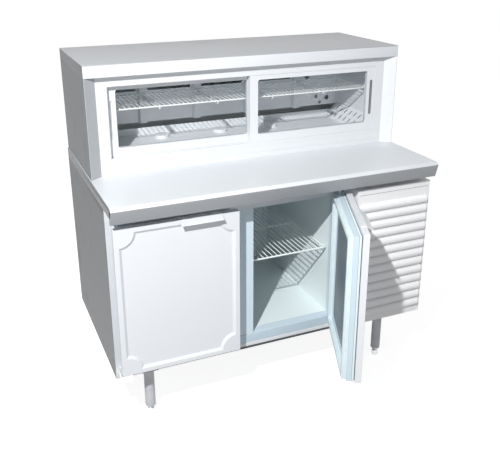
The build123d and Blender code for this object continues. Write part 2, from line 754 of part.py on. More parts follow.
def make_power_inlet():
    """Flanged gland for the mains cord in the rear grille."""
    flange = cylinder_y(GLAND_X, GLAND_Z, BACK_Y - SHEET_T - BRACKET_T, BACK_Y - SHEET_T, GLAND_R * 1.5)
    neck = cylinder_y(GLAND_X, GLAND_Z, BACK_Y - SHEET_T, BACK_Y, GLAND_R)
    bore = cylinder_y(GLAND_X, GLAND_Z, BACK_Y - GLAND_L, BACK_Y + GLAND_L, GLAND_BORE_R)
    return flange + neck - bore


# Cooler inside the cabinet


def cooler_fan_place():
    """Motor face of the cooler's fan: x, y, z."""
    y = BAY_BACK_Y - COOLER_D + SHEET_T + FAN_GAP / 2 + hub_length(COOLER_FAN_R)
    return COOLER_X, y, BAY_CEILING_Z - COOLER_H / 2


def make_cooler_housing():
    """Sheet duct hung from the bay ceiling, with a round fan mouth in its front."""
    x0 = COOLER_X - COOLER_W / 2
    x1 = COOLER_X + COOLER_W / 2
    y0 = BAY_BACK_Y - COOLER_D
    y1 = BAY_BACK_Y
    z0 = BAY_CEILING_Z - COOLER_H
    z1 = BAY_CEILING_Z
    shell = block(x0, x1, y0, y1, z0, z1)
    shell -= block(x0 + SHEET_T, x1 - SHEET_T, y0 + SHEET_T, y1, z0 + SHEET_T, z1)
    mouth = cylinder_y(COOLER_X, z1 - COOLER_H / 2, y0, y0 + SHEET_T, COOLER_FAN_R + COOLER_MOUTH_GAP)
    grid = pattern(GridLocations(INLET_PITCH, 1, INLET_SLOTS, 1), SlotOverall(INLET_SLOT_L, VENT_SLOT_W))
    inlet = run_up(Pos(COOLER_X, y1 - COOLER_COIL_D / 2) * grid, z0, z0 + SHEET_T)
    return shell - mouth - inlet


def make_cooler_coil():
    """Finned cooling coil in the duct, and the motor of its fan on a strap across the duct."""
    x0 = COOLER_X - COOLER_W / 2 + SHEET_T
    length = COOLER_W - 2 * SHEET_T
    y0 = BAY_BACK_Y - COOLER_COIL_D
    z0 = BAY_CEILING_Z - COOLER_H + SHEET_T
    coil = coil_block(x0, y0, z0, length, COOLER_COIL_D, COOLER_H - 2 * SHEET_T)
    x, y, z = cooler_fan_place()
    return [coil, fan_motor(x, y, z, COOLER_FAN_R, COOLER_W / 2 - SHEET_T)]


def make_cooler_fan():
    """Blades of the cooler's fan."""
    return fan_blades(*cooler_fan_place(), COOLER_FAN_R)


# Cabinet doors


def scooped_outline(inset):
    """The field's outline at an inset from its edge, with scooped corners about the edge's own corners."""
    half_w = DOOR_W / 2 - MOULDING_INSET
    half_h = DOOR_H / 2 - MOULDING_INSET
    scoop_r = MOULDING_SCOOP_R + inset
    reach = math.sqrt(scoop_r**2 - inset**2)
    diagonal = scoop_r / math.sqrt(2)
    lines = []
    for sx, sz in ((1, 1), (-1, 1), (-1, -1), (1, -1)):
        beside = (sx * (half_w - inset), sz * (half_h - reach))
        middle = (sx * (half_w - diagonal), sz * (half_h - diagonal))
        above = (sx * (half_w - reach), sz * (half_h - inset))
        ends = (beside, above) if sx * sz > 0 else (above, beside)
        lines.append(ThreePointArc(ends[0], middle, ends[1]))
    for index in range(len(lines)):
        lines.append(Line(lines[index] @ 1, lines[(index + 1) % 4] @ 0))
    return make_face(lines)


def moulding_field(y0):
    """Shallow field pressed into a door's face, with walls that slope down to it."""
    place = Plane((DOOR_W / 2, y0, DOOR_Z + DOOR_H / 2), x_dir=(1, 0, 0), z_dir=(0, -1, 0))
    rim = place * scooped_outline(0)
    floor = place * Pos(0, 0, -MOULDING_DEPTH) * scooped_outline(MOULDING_W)
    return loft([rim, floor], ruled=True)


def make_door_skin():
    """Outer pan of a door with its left edge at x = 0, with the scooped field pressed into it."""
    y0 = FACE_Y - DOOR_STANDOFF
    pan = block(0, DOOR_W, y0, y0 + DOOR_SKIN_T, DOOR_Z, DOOR_Z + DOOR_H)
    pan = fillet(pan.edges().group_by(Axis.Y)[0], DOOR_EDGE_R)
    return pan - moulding_field(y0)


def door_pan_frame():
    """Edges of the inner pan: x0, x1, z0, z1 for a door with its left edge at x = 0."""
    x0 = DOOR_PAN_SIDE_INSET
    x1 = DOOR_W - DOOR_PAN_SIDE_INSET
    return x0, x1, DOOR_Z + DOOR_PAN_BOTTOM_INSET, DOOR_Z + DOOR_H - DOOR_PAN_TOP_INSET


def make_door_liner(pivot_x):
    """Inner pan on its narrow neck, with the two pivot sleeves at the hinge edge."""
    y0 = FACE_Y - DOOR_STANDOFF + DOOR_SKIN_T
    y1 = y0 + DOOR_NECK_T
    y2 = y1 + DOOR_PAN_T
    x0, x1, z0, z1 = door_pan_frame()
    step = DOOR_NECK_INSET
    neck = block(x0 + step, x1 - step, y0, y1, z0 + step, z1 - step)
    pan = block(x0, x1, y1, y2, z0, z1)
    pan = fillet(pan.edges().filter_by(Axis.Y), DOOR_EDGE_R)
    rim = DOOR_PAN_RIM
    pan -= block(x0 + rim, x1 - rim, y2 - DOOR_PAN_RECESS, y2, z0 + rim, z1 - rim)
    liner = neck + pan
    pivot_y = FACE_Y - DOOR_STANDOFF + PIVOT_SETBACK
    bore_r = PIN_R + PIN_CLEARANCE
    low = DOOR_Z - BRACKET_GAP + SEAT_GAP
    high = DOOR_Z + DOOR_H + BRACKET_GAP - SEAT_GAP
    for a, b in ((low, low + SLEEVE_LENGTH), (high - SLEEVE_LENGTH, high)):
        liner += cylinder_z(pivot_x, pivot_y, a, b, bore_r + SLEEVE_WALL)
        liner -= cylinder_z(pivot_x, pivot_y, a, b, bore_r)
    return liner


def make_door_gasket():
    """Magnetic seal around the inner pan."""
    y0 = FACE_Y - DOOR_STANDOFF + DOOR_SKIN_T + DOOR_NECK_T + DOOR_PAN_T
    y1 = FACE_Y - GASKET_FACE_GAP
    x0 = GASKET_SIDE_INSET
    x1 = DOOR_W - GASKET_SIDE_INSET
    z0 = DOOR_Z + GASKET_BOTTOM_INSET
    z1 = DOOR_Z + DOOR_H - GASKET_SIDE_INSET
    ring = rectangle(x0, x1, z0, z1)
    ring -= rectangle(x0 + GASKET_W, x1 - GASKET_W, z0 + GASKET_W, z1 - GASKET_W)
    return run_back(ring, y0, y1)


def make_door_handle(x0):
    """Pull plate on the top edge of the outer pan, with a hemmed lip sloping down in front of its face."""
    face = FACE_Y - DOOR_STANDOFF
    top = DOOR_Z + DOOR_H
    t = HANDLE_T
    slope = math.atan2(HANDLE_DROP, HANDLE_REACH)
    bend = t * math.tan(slope / 2)
    end = (face - HANDLE_REACH, top + t - HANDLE_DROP)
    inner_end = (end[0] + t * math.sin(slope), end[1] - t * math.cos(slope))
    upper = FilletPolyline((face + HANDLE_BACK, top + t), (face, top + t), end, radius=HANDLE_BEND_R)
    lower = FilletPolyline(
        (face + HANDLE_BACK, top), (face + bend, top), inner_end, radius=HANDLE_BEND_R - t
    )
    ends = Line(upper @ 0, lower @ 0) + Line(upper @ 1, lower @ 1)
    sheet = make_face(upper + lower + ends)
    hem_y = (end[0] + inner_end[0]) / 2
    hem_z = (end[1] + inner_end[1]) / 2
    hem = cylinder_x(hem_y, hem_z, x0, x0 + HANDLE_W, HANDLE_HEM_R)
    return run_along_x(sheet, x0, x0 + HANDLE_W) + hem


def door_parts(door_x, hinge_on_left):
    """All pieces of one door, closed, in the cabinet's frame."""
    pivot = PIVOT_INSET if hinge_on_left else DOOR_W - PIVOT_INSET
    handle_x = DOOR_W - HANDLE_INSET - HANDLE_W if hinge_on_left else HANDLE_INSET
    pieces = {
        "skin": make_door_skin(),
        "liner": make_door_liner(pivot),
        "gasket": make_door_gasket(),
        "handle": make_door_handle(handle_x),
    }
    return {name: Pos(door_x, 0, 0) * piece for name, piece in pieces.items()}


def pivots():
    """Pivot centres of the two doors in (X, Y)."""
    y = FACE_Y - DOOR_STANDOFF + PIVOT_SETBACK
    return ((LEFT_DOOR_X + PIVOT_INSET, y), (CENTRE_DOOR_X + DOOR_W - PIVOT_INSET, y))


def lower_bracket(x, y, top):
    """Channel bracket under a door, open below, that reaches out to the door's hinge edge."""
    outward = math.copysign(BRACKET_LOW_OUT, x)
    inward = math.copysign(BRACKET_W / 2, x)
    x0 = min(x + outward, x - inward)
    x1 = max(x + outward, x - inward)
    y0 = FACE_Y - DOOR_STANDOFF + BRACKET_LOW_SETBACK
    t = BRACKET_T
    bracket = block(x0, x1, y0, FACE_Y, top - BRACKET_LOW_DROP, top)
    bracket -= block(x0 + t, x1 - t, y0 + t, FACE_Y - t, top - BRACKET_LOW_DROP, top - t)
    return bracket + cylinder_z(x, y, top, top + PIN_ENGAGEMENT, PIN_R)


def make_hinge_brackets():
    """Four angle brackets on the cabinet's face, each with its pin."""
    brackets = []
    low = DOOR_Z - BRACKET_GAP
    high = DOOR_Z + DOOR_H + BRACKET_GAP
    reach = BRACKET_W / 2
    for x, y in pivots():
        brackets.append(lower_bracket(x, y, low))
        x0 = x - reach
        x1 = x + reach
        plate = block(x0, x1, y, FACE_Y, high, high + BRACKET_T)
        plate += cylinder_z(x, y, high, high + BRACKET_T, reach)
        plate += block(x0, x1, FACE_Y - BRACKET_T, FACE_Y, high, high + BRACKET_LEG)
        plate += cylinder_z(x, y, high - PIN_ENGAGEMENT, high, PIN_R)
        brackets.append(plate)
    return brackets


# Legs


def leg_places():
    """Centres of the four legs."""
    ys = (FACE_Y + LEG_FRONT_SETBACK, BACK_Y - LEG_BACK_SETBACK)
    return [(x, y) for y in ys for x in (-LEG_X, LEG_X)]


def make_legs():
    """Tube legs with their fixing plates and threaded plugs."""
    legs = []
    for x, y in leg_places():
        z1 = CABINET_BOTTOM_Z - LEG_PLATE_T
        tube = cylinder_z(x, y, LEG_BOTTOM_Z, z1, LEG_R)
        tube -= cylinder_z(x, y, LEG_BOTTOM_Z + LEG_PLUG_H, z1, LEG_R - LEG_WALL)
        tube -= cylinder_z(x, y, LEG_BOTTOM_Z, LEG_BOTTOM_Z + LEG_PLUG_H, FOOT_STEM_R + PIN_CLEARANCE)
        plate = run_up(Pos(x, y) * RectangleRounded(LEG_PLATE, LEG_PLATE, LEG_R / 4), z1, CABINET_BOTTOM_Z)
        legs.append(tube + plate)
    return legs


def make_foot(x, y):
    """Bullet foot with its threaded stem and lock nut, turned about its own axis."""
    top = LEG_BOTTOM_Z + LEG_PLUG_H + FOOT_TRAVEL
    belly_z = FOOT_TOP_Z * FOOT_BELLY
    side = Polyline((0, 0), (FOOT_SOLE_R, 0), (FOOT_R, FOOT_SOLE_R * FOOT_BELLY), (FOOT_R, belly_z))
    crown = (FOOT_R * FOOT_SHOULDER[0], FOOT_TOP_Z * FOOT_SHOULDER[1])
    shoulder = ThreePointArc((FOOT_R, belly_z), crown, (FOOT_STEM_R, FOOT_TOP_Z))
    stem = Polyline((FOOT_STEM_R, FOOT_TOP_Z), (FOOT_STEM_R, top), (0, top), (0, 0))
    foot = revolve(Plane.XZ * make_face(side + shoulder + stem), Axis.Z)
    nut_z1 = LEG_BOTTOM_Z - SEAT_GAP
    nut = run_up(RegularPolygon(FOOT_NUT_R, 6), nut_z1 - FOOT_NUT_H, nut_z1)
    return Pos(x, y, 0) * (foot + nut)


# Wire shelves


def wire_shelf(x0, x1, y0, y1, top_z, border_r, wire_r, pitch):
    """Border frame with a cross wire, and the front-to-back wires that lie on them."""
    border_z = top_z - 2 * wire_r - border_r
    width = x1 - x0 - 2 * border_r
    depth = y1 - y0 - 2 * border_r
    middle = ((x0 + x1) / 2, (y0 + y1) / 2)
    path = Pos(*middle, border_z) * RectangleRounded(width, depth, SHELF_CORNER_R).wire()
    start = Plane(origin=path @ 0, z_dir=path % 0)
    border = sweep(start * Circle(border_r), path)
    cross_r = border_r - SHELF_CROSS_SLIMMER
    cross = cylinder_x(middle[1], border_z, x0 + border_r, x1 - border_r, cross_r)
    count = int((width - 2 * SHELF_CORNER_R) // pitch) + 1
    wire_z = top_z - wire_r
    first_x = middle[0] - (count - 1) / 2 * pitch
    wire = cylinder_y(first_x, wire_z, y0 + border_r, y1 - border_r, wire_r)
    wires = [Pos(index * pitch, 0, 0) * wire for index in range(count)]
    return [border + cross] + wires


def shelf_depth():
    """Front and back edges of the cabinet's shelves."""
    return FACE_Y + MULLION_DEPTH + POST_T + SEAT_GAP, BAY_BACK_Y - POST_T - SEAT_GAP


def shelf_spans():
    """Left and right edges of the two cabinet shelves, which meet behind the mullion."""
    middle = (MULLION_X0 + MULLION_X1) / 2
    gap = POST_W / 4
    return (BAY_LEFT_X + SHELF_SIDE_GAP, middle - gap), (middle + gap, BAY_RIGHT_X - SHELF_SIDE_GAP)


def make_cabinet_shelf(span):
    """One wire shelf of the cabinet."""
    y0, y1 = shelf_depth()
    return wire_shelf(span[0], span[1], y0, y1, SHELF_TOP_Z, SHELF_BORDER_R, SHELF_WIRE_R, SHELF_PITCH)


def make_shelf_supports():
    """Wall clips under the shelf ends, and the two slotted posts behind the mullion and at the back wall."""
    y0, y1 = shelf_depth()
    seat_z = SHELF_TOP_Z - 2 * SHELF_WIRE_R - 2 * SHELF_BORDER_R
    reach = SHELF_SIDE_GAP + 2 * SHELF_BORDER_R
    supports = []
    for y in (y0 + STRIP_DEPTH, y1 - STRIP_DEPTH):
        for wall, side in ((BAY_LEFT_X, 1), (BAY_RIGHT_X, -1)):
            tip = wall + side * reach
            profile = outline((wall, seat_z - CLIP_H), (tip, seat_z - CLIP_H / 3), (tip, seat_z),
                              (wall, seat_z))
            supports.append(run_back(profile, y - CLIP_W / 2, y + CLIP_W / 2))
    middle = (MULLION_X0 + MULLION_X1) / 2
    for wall_y, side in ((FACE_Y + MULLION_DEPTH, 1), (BAY_BACK_Y, -1)):
        a, b = sorted((wall_y, wall_y + side * POST_T))
        post = block(middle - POST_W / 2, middle + POST_W / 2, a, b, BAY_FLOOR_Z, BAY_CEILING_Z)
        edge = y0 if side > 0 else y1
        inner = edge + side * 2 * SHELF_BORDER_R
        c, d = sorted((wall_y, inner))
        post += block(middle - POST_W, middle + POST_W, c, d, seat_z - CLIP_H / 2, seat_z)
        supports.append(post)
    return supports


# Display case


def make_case_side_left():
    """Side of the display case with a splayed reveal in front of the frame."""
    x = -CASE_X
    profile = outline(
        (x, BACK_Y), (x, CASE_FRONT_Y), (x + CASE_LEDGE, CASE_FRONT_Y),
        (-CASE_SPLAY_X, CASE_FRAME_Y), (-CASE_SPLAY_X, CASE_FRAME_BACK_Y),
        (-CASE_SIDE_INNER_X, CASE_FRAME_BACK_Y), (-CASE_SIDE_INNER_X, BACK_Y),
    )
    return run_up(profile, WORKTOP_Z, CASE_ROOF_Z)


def make_case_back():
    """Insulated back wall."""
    return block(-CASE_SIDE_INNER_X, CASE_SIDE_INNER_X, CASE_BACK_INNER_Y, BACK_Y, WORKTOP_Z, CASE_ROOF_Z)


def make_case_roof():
    """Insulated roof slab with its plain fascia."""
    return block(-CASE_X, CASE_X, CASE_FRONT_Y, BACK_Y, CASE_ROOF_Z, TOP_Z)


def make_case_floor():
    """Insulated floor with three round bosses."""
    floor = block(-CASE_SIDE_INNER_X, CASE_SIDE_INNER_X, CASE_FRAME_BACK_Y, CASE_BACK_INNER_Y, WORKTOP_Z,
                  CASE_FLOOR_Z)
    for x, duct_gap in BOSS_PLACES:
        boss = cylinder_z(x, DUCT_Y - duct_gap, CASE_FLOOR_Z, CASE_FLOOR_Z + BOSS_H, BOSS_R)
        floor += fillet(boss.edges().group_by(Axis.Z)[-1], BOSS_FILLET)
    return floor


def make_case_frame_stiles():
    """Upright members of the front frame."""
    z0 = CASE_OPENING_Z0 - TRACK_H
    z1 = CASE_OPENING_Z1 + TRACK_TOP_H
    right = block(CASE_OPENING_X, CASE_SPLAY_X, CASE_FRAME_Y, CASE_FRAME_BACK_Y, z0, z1)
    return [mirrored_x(right), right]


def make_case_frame_rails():
    """Sill with its base strip, and the head under the roof."""
    z1 = CASE_OPENING_Z0 - TRACK_H
    sill = block(-CASE_SPLAY_X, CASE_SPLAY_X, CASE_FRAME_Y, CASE_FRAME_BACK_Y, WORKTOP_Z, z1)
    line_z = WORKTOP_Z + CASE_BASE_STRIP_H
    groove = CASE_BASE_GROOVE
    sill -= block(-CASE_SPLAY_X, CASE_SPLAY_X, CASE_FRAME_Y, CASE_FRAME_Y + groove, line_z, line_z + groove)
    z0 = CASE_OPENING_Z1 + TRACK_TOP_H
    head = block(-CASE_SPLAY_X, CASE_SPLAY_X, CASE_FRAME_Y, CASE_FRAME_BACK_Y, z0, CASE_ROOF_Z)
    return [sill, head]


def slider_middles():
    """Middle planes of the front and rear sliding doors."""
    return SLIDER_FRONT_Y + SLIDER_T / 2, SLIDER_REAR_Y + SLIDER_T / 2


def make_door_tracks():
    """Double tracks in the sill and the head of the frame."""
    x = CASE_OPENING_X
    z0 = CASE_OPENING_Z0 - TRACK_H
    z1 = CASE_OPENING_Z1 + TRACK_TOP_H
    lower = block(-x, x, CASE_FRAME_Y, CASE_FRAME_BACK_Y, z0, CASE_OPENING_Z0)
    upper = block(-x, x, CASE_FRAME_Y, CASE_FRAME_BACK_Y, CASE_OPENING_Z1, z1)
    half = TRACK_GROOVE_W / 2
    for y in slider_middles():
        lower -= block(-x, x, y - half, y + half, CASE_OPENING_Z0 - TRACK_GROOVE_BOTTOM, CASE_OPENING_Z0)
        upper -= block(-x, x, y - half, y + half, CASE_OPENING_Z1, CASE_OPENING_Z1 + TRACK_GROOVE_TOP)
    return [lower, upper]


def slider_glass_face(x0, x1):
    """Outline of a sliding door's glass in (X, Z)."""
    z0 = CASE_OPENING_Z0 + SLIDER_BOTTOM_RAIL
    z1 = CASE_OPENING_Z1 - SLIDER_TOP_RAIL
    face = rectangle(x0 + SLIDER_STILE, x1 - SLIDER_STILE, z0, z1)
    return fillet(face.vertices(), SLIDER_GLASS_R)


def make_slider_frame(x0, x1, front_y, pull_x):
    """Frame of a sliding door with its runners and its recessed pull."""
    gap = SLIDER_GAP
    z0 = CASE_OPENING_Z0 + gap
    z1 = CASE_OPENING_Z1 - gap
    frame = run_back(rectangle(x0, x1, z0, z1) - slider_glass_face(x0, x1), front_y, front_y + SLIDER_T)
    middle = front_y + SLIDER_T / 2
    half = SLIDER_RUNNER_W / 2
    low = CASE_OPENING_Z0 - TRACK_GROOVE_BOTTOM + SEAT_GAP
    high = CASE_OPENING_Z1 + TRACK_GROOVE_TOP - PULL_DEPTH / 2
    frame += block(x0, x1, middle - half, middle + half, low, z0)
    frame += block(x0, x1, middle - half, middle + half, z1, high)
    pull = Pos(pull_x, PULL_Z) * Rot(0, 0, 90) * SlotOverall(PULL_H, PULL_W)
    return frame - run_back(pull, front_y, front_y + PULL_DEPTH)


def make_slider_glass(x0, x1, front_y):
    """Pane of a sliding door, in the middle of its frame."""
    y = front_y + (SLIDER_T - SLIDER_GLASS_T) / 2
    return run_back(slider_glass_face(x0, x1), y, y + SLIDER_GLASS_T)


def slider_spans():
    """Left and right edges of the rear (left) and front (right) sliding doors."""
    edge = CASE_OPENING_X - SLIDER_GAP
    return (-edge, SLIDER_MEETING_X + SLIDER_OVERLAP), (SLIDER_MEETING_X, edge)


# Inside of the display case


def duct_post_centres():
    """X of the posts on the air duct."""
    return [(index - (DUCT_POST_COUNT - 1) / 2) * DUCT_POST_PITCH for index in range(DUCT_POST_COUNT)]


def make_duct_panel():
    """Back panel in front of the air duct, with outlet slots, a return slot at the foot and round vents."""
    x = CASE_SIDE_INNER_X
    y1 = DUCT_Y + DUCT_T
    panel = block(-x, x, DUCT_Y, y1, CASE_FLOOR_Z, CASE_ROOF_Z)
    centres = duct_post_centres()
    half = DUCT_POST_W / 2 + DUCT_SLOT_MARGIN
    beside_posts = [c + s * half for c in centres for s in (-1, 1)]
    edges = [-x + DUCT_SLOT_MARGIN] + beside_posts + [x - DUCT_SLOT_MARGIN]
    for index in range(0, len(edges), 2):
        x0 = edges[index]
        x1 = edges[index + 1]
        if index < len(edges) - 2:
            panel -= block(x0, x1, DUCT_Y, y1, DUCT_SLOT_Z, DUCT_SLOT_Z + DUCT_SLOT_H)
    panel -= block(edges[0], edges[-1], DUCT_Y, y1, DUCT_KICK_Z, DUCT_SILL_Z)
    for side_gap, raise_z, hole_r in VENT_HOLES:
        panel -= cylinder_y(x - side_gap, CASE_FLOOR_Z + raise_z, DUCT_Y, y1, hole_r)
    return panel


def make_duct_posts():
    """Folded posts on the duct panel, with side flanges, that carry the shelf brackets."""
    posts = []
    half = DUCT_POST_W / 2
    y0 = DUCT_Y - DUCT_POST_DEPTH
    for centre in duct_post_centres():
        profile = outline(
            (centre - half, DUCT_Y), (centre - half + DUCT_POST_FOLD, y0),
            (centre + half - DUCT_POST_FOLD, y0), (centre + half, DUCT_Y),
        )
        posts.append(run_up(profile, DUCT_SILL_Z, CASE_ROOF_Z))
    return posts


def make_return_cover():
    """Sloping sheet cover over the air return at the right end, with two rows of slots."""
    run = CASE_SIDE_INNER_X - RETURN_FOOT_X
    rise = RETURN_TOP_Z - CASE_FLOOR_Z
    slope = math.hypot(run, rise)
    shift = RETURN_T * slope / rise
    profile = outline(
        (RETURN_FOOT_X, CASE_FLOOR_Z), (RETURN_FOOT_X + shift, CASE_FLOOR_Z),
        (CASE_SIDE_INNER_X, RETURN_TOP_Z - RETURN_T * slope / run), (CASE_SIDE_INNER_X, RETURN_TOP_Z),
    )
    cover = run_back(profile, RETURN_FRONT_Y, DUCT_Y)
    lean = math.degrees(math.atan2(rise, run))
    middle_y = (RETURN_FRONT_Y + DUCT_Y) / 2
    centre = (RETURN_FOOT_X + run / 2, middle_y, CASE_FLOOR_Z + rise / 2)
    slot = extrude(SlotOverall(RETURN_SLOT_L, RETURN_SLOT_W), 4 * RETURN_T, both=True)
    for place in GridLocations(RETURN_ROW_PITCH, RETURN_PITCH_Y, 2, RETURN_SLOTS):
        cover -= Pos(*centre) * Rot(0, -lean, 0) * place * slot
    return cover


def make_display_shelf():
    """Wire shelf across the display case."""
    y1 = DUCT_Y - DUCT_POST_DEPTH - SEAT_GAP
    x = DISPLAY_SHELF_X
    return wire_shelf(-x, x, DISPLAY_SHELF_FRONT_Y, y1, DISPLAY_SHELF_Z, DISPLAY_BORDER_R, DISPLAY_WIRE_R,
                      DISPLAY_SHELF_PITCH)


def make_shelf_brackets():
    """Tapered brackets from the posts to under the display shelf's front wire."""
    back = DUCT_Y - DUCT_POST_DEPTH
    front = DISPLAY_SHELF_FRONT_Y
    top = DISPLAY_SHELF_Z - 2 * DISPLAY_WIRE_R - 2 * DISPLAY_BORDER_R
    half = DISPLAY_BRACKET_W / 2
    profile = outline((back, top), (front, top), (front, top - DISPLAY_BRACKET_TIP_H),
                      (back, top - DISPLAY_BRACKET_H))
    return [run_along_x(profile, x - half, x + half) for x in duct_post_centres()]


def display_fan_place():
    """Motor face of the display fan: x, y, z."""
    y = CASE_BACK_INNER_Y - MOTOR_L - BRACKET_T
    return DISPLAY_FAN_X, y, DISPLAY_COIL_Z + DISPLAY_COIL_H / 2


def make_display_coil():
    """Finned coil behind the duct panel, and the display fan's motor on the back wall."""
    x0 = DISPLAY_COIL_X - DISPLAY_COIL_L / 2
    y0 = CASE_BACK_INNER_Y - DISPLAY_COIL_D
    coil = coil_block(x0, y0, DISPLAY_COIL_Z, DISPLAY_COIL_L, DISPLAY_COIL_D, DISPLAY_COIL_H)
    x, y, z = display_fan_place()
    return [coil, fan_motor(x, y, z, DISPLAY_FAN_R, DISPLAY_FAN_R)]


def make_display_fan():
    """Blades of the display fan."""
    return fan_blades(*display_fan_place(), DISPLAY_FAN_R)


def build_cabinet():
    """Write the cabinet's own nodes."""
    filler = make_front_fillers()
    save("cabinet_side_left", make_cabinet_side_left() + filler["left"])
    save("cabinet_side_right", make_cabinet_side_right())
    save("cabinet_back", make_cabinet_back())
    save("cabinet_floor", make_cabinet_floor() + filler["floor"])
    save("cabinet_roof", make_cabinet_roof() + filler["roof"])
    save("bulkhead", make_bulkhead() + filler["right"])
    save("face_mullion", make_face_mullion())
    save("cabinet_liner", make_cabinet_liner())
    save("breaker_strips", *make_breaker_strips())
    save("worktop", make_worktop())
    save("hinge_brackets", *make_hinge_brackets())
    save("legs", *make_legs())
    names = ("foot_front_left", "foot_front_right", "foot_rear_left", "foot_rear_right")
    for name, (x, y) in zip(names, leg_places()):
        save(name, make_foot(x, y))
    left, centre = shelf_spans()
    save("wire_shelf_left", *make_cabinet_shelf(left))
    save("wire_shelf_centre", *make_cabinet_shelf(centre))
    save("shelf_supports", *make_shelf_supports())
    save("cooler_housing", make_cooler_housing())
    save("cooler_coil", *make_cooler_coil())
    save("cooler_fan", make_cooler_fan())


def build_machine():
    """Write the machine compartment's nodes."""
    save("machine_base", make_machine_base())
    save("rear_grille", make_rear_grille())
    save("louvre_panel", make_louvre_panel())
    save("compressor", make_compressor())
    save("compressor_mounts", *make_compressor_mounts())
    save("condenser_coil", make_condenser_coil())
    save("condenser_fan_motor", make_condenser_fan_motor())
    save("condenser_fan", make_condenser_fan())
    save("refrigerant_lines", *make_refrigerant_lines())
    save("control_box", make_control_box())
    save("power_inlet", make_power_inlet())


def build_doors():
    """Write the two cabinet doors: the left one closed, the centre one standing open."""
    for name, piece in door_parts(LEFT_DOOR_X, True).items():
        save(f"door_left_{name}", piece)
    x, y = pivots()[1]
    hinge = Axis((x, y, 0), (0, 0, 1))
    for name, piece in door_parts(CENTRE_DOOR_X, False).items():
        save(f"door_centre_{name}", piece.rotate(hinge, DOOR_OPEN_DEG))


def build_display():
    """Write the display case's nodes."""
    side = make_case_side_left()
    save("case_side_left", side)
    save("case_side_right", mirrored_x(side))
    save("case_back", make_case_back())
    save("case_roof", make_case_roof())
    save("case_floor", make_case_floor())
    save("case_frame_stiles", *make_case_frame_stiles())
    save("case_frame_rails", *make_case_frame_rails())
    save("door_tracks", *make_door_tracks())
    save("duct_panel", make_duct_panel())
    save("duct_posts", *make_duct_posts())
    save("return_cover", make_return_cover())
    save("display_shelf", *make_display_shelf())
    save("shelf_brackets", *make_shelf_brackets())
    save("display_coil", *make_display_coil())
    save("display_fan", make_display_fan())
    rear, front = slider_spans()
    pull = PULL_INSET + PULL_W / 2
    save("glass_door_left_frame", make_slider_frame(*rear, SLIDER_REAR_Y, rear[0] + pull))
    save("glass_door_left_pane", make_slider_glass(*rear, SLIDER_REAR_Y))
    save("glass_door_right_frame", make_slider_frame(*front, SLIDER_FRONT_Y, front[1] - pull))
    save("glass_door_right_pane", make_slider_glass(*front, SLIDER_FRONT_Y))


os.makedirs("parts", exist_ok=True)
build_cabinet()
build_machine()
build_doors()
build_display()
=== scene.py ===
"""Looks of a refrigerated display case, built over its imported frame.

The frame gives every place, in metres, with +Z up and the front facing -Y. Each sub-assembly is a
class that dresses the frame's own nodes and adds the pieces that the solids leave plain.
"""

import logging
import math
from dataclasses import dataclass, field, replace
from enum import Enum
from typing import Iterable, Optional, Sequence, Union

import bmesh
import bpy
from mathutils import Matrix, Vector

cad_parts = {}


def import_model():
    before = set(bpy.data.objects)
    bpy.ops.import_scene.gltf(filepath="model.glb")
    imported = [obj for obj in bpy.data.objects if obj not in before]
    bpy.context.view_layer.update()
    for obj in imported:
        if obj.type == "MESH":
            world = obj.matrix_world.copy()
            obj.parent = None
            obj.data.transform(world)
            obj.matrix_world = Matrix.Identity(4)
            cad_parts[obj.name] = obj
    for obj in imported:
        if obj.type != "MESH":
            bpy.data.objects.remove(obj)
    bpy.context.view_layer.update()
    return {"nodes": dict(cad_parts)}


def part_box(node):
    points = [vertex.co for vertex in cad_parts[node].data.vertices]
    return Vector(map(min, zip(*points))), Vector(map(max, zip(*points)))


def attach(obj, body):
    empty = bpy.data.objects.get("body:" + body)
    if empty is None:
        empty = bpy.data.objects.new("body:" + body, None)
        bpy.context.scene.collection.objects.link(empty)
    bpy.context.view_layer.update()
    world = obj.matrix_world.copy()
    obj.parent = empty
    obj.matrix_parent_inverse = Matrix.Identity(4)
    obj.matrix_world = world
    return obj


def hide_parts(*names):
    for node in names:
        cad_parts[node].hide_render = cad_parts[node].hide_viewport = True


LOG = logging.getLogger("display_case")
MM = 0.001
BEND_STEPS = 5
BEVEL_STEPS = 2
BEVEL_ANGLE_DEG = 20
WELD_GAP = 0.005 * MM

Point = tuple[float, float]
Triple = tuple[float, float, float]
Rgba = tuple[float, float, float, float]
Value = Union["Signal", float, Sequence[float]]
Row = Sequence[bmesh.types.BMVert]
BMesh = bmesh.types.BMesh
Mesh = bpy.types.Mesh
Material = bpy.types.Material
Box = tuple[float, float, float, float]
Seat = tuple[Sequence[float], Sequence[float]]
Nodes = dict[str, bpy.types.Object]


class Signal:
    """A node's output that Python's operators combine through Math nodes."""

    def __init__(self, shader: "Shader", socket: bpy.types.NodeSocket) -> None:
        """Keep the socket and the shader that it belongs to."""
        self.shader = shader
        self.socket = socket

    def math(self, operation: str, first: Value, second: Value = 0.0) -> "Signal":
        """One Math node of the given operation on two values."""
        inputs = {"Value": first, "Value_001": second}
        return self.shader.node("ShaderNodeMath", {"operation": operation}, inputs)

    def __add__(self, other: Value) -> "Signal":
        """This value plus another."""
        return self.math("ADD", self, other)

    def __radd__(self, other: Value) -> "Signal":
        """A number plus this value."""
        return self.math("ADD", other, self)

    def __sub__(self, other: Value) -> "Signal":
        """This value less another."""
        return self.math("SUBTRACT", self, other)

    def __rsub__(self, other: Value) -> "Signal":
        """A number less this value."""
        return self.math("SUBTRACT", other, self)

    def __mul__(self, other: Value) -> "Signal":
        """This value times another."""
        return self.math("MULTIPLY", self, other)

    def __rmul__(self, other: Value) -> "Signal":
        """A number times this value."""
        return self.math("MULTIPLY", other, self)

    def __gt__(self, other: Value) -> "Signal":
        """1 where this value is over the other, and 0 elsewhere."""
        return self.math("GREATER_THAN", self, other)


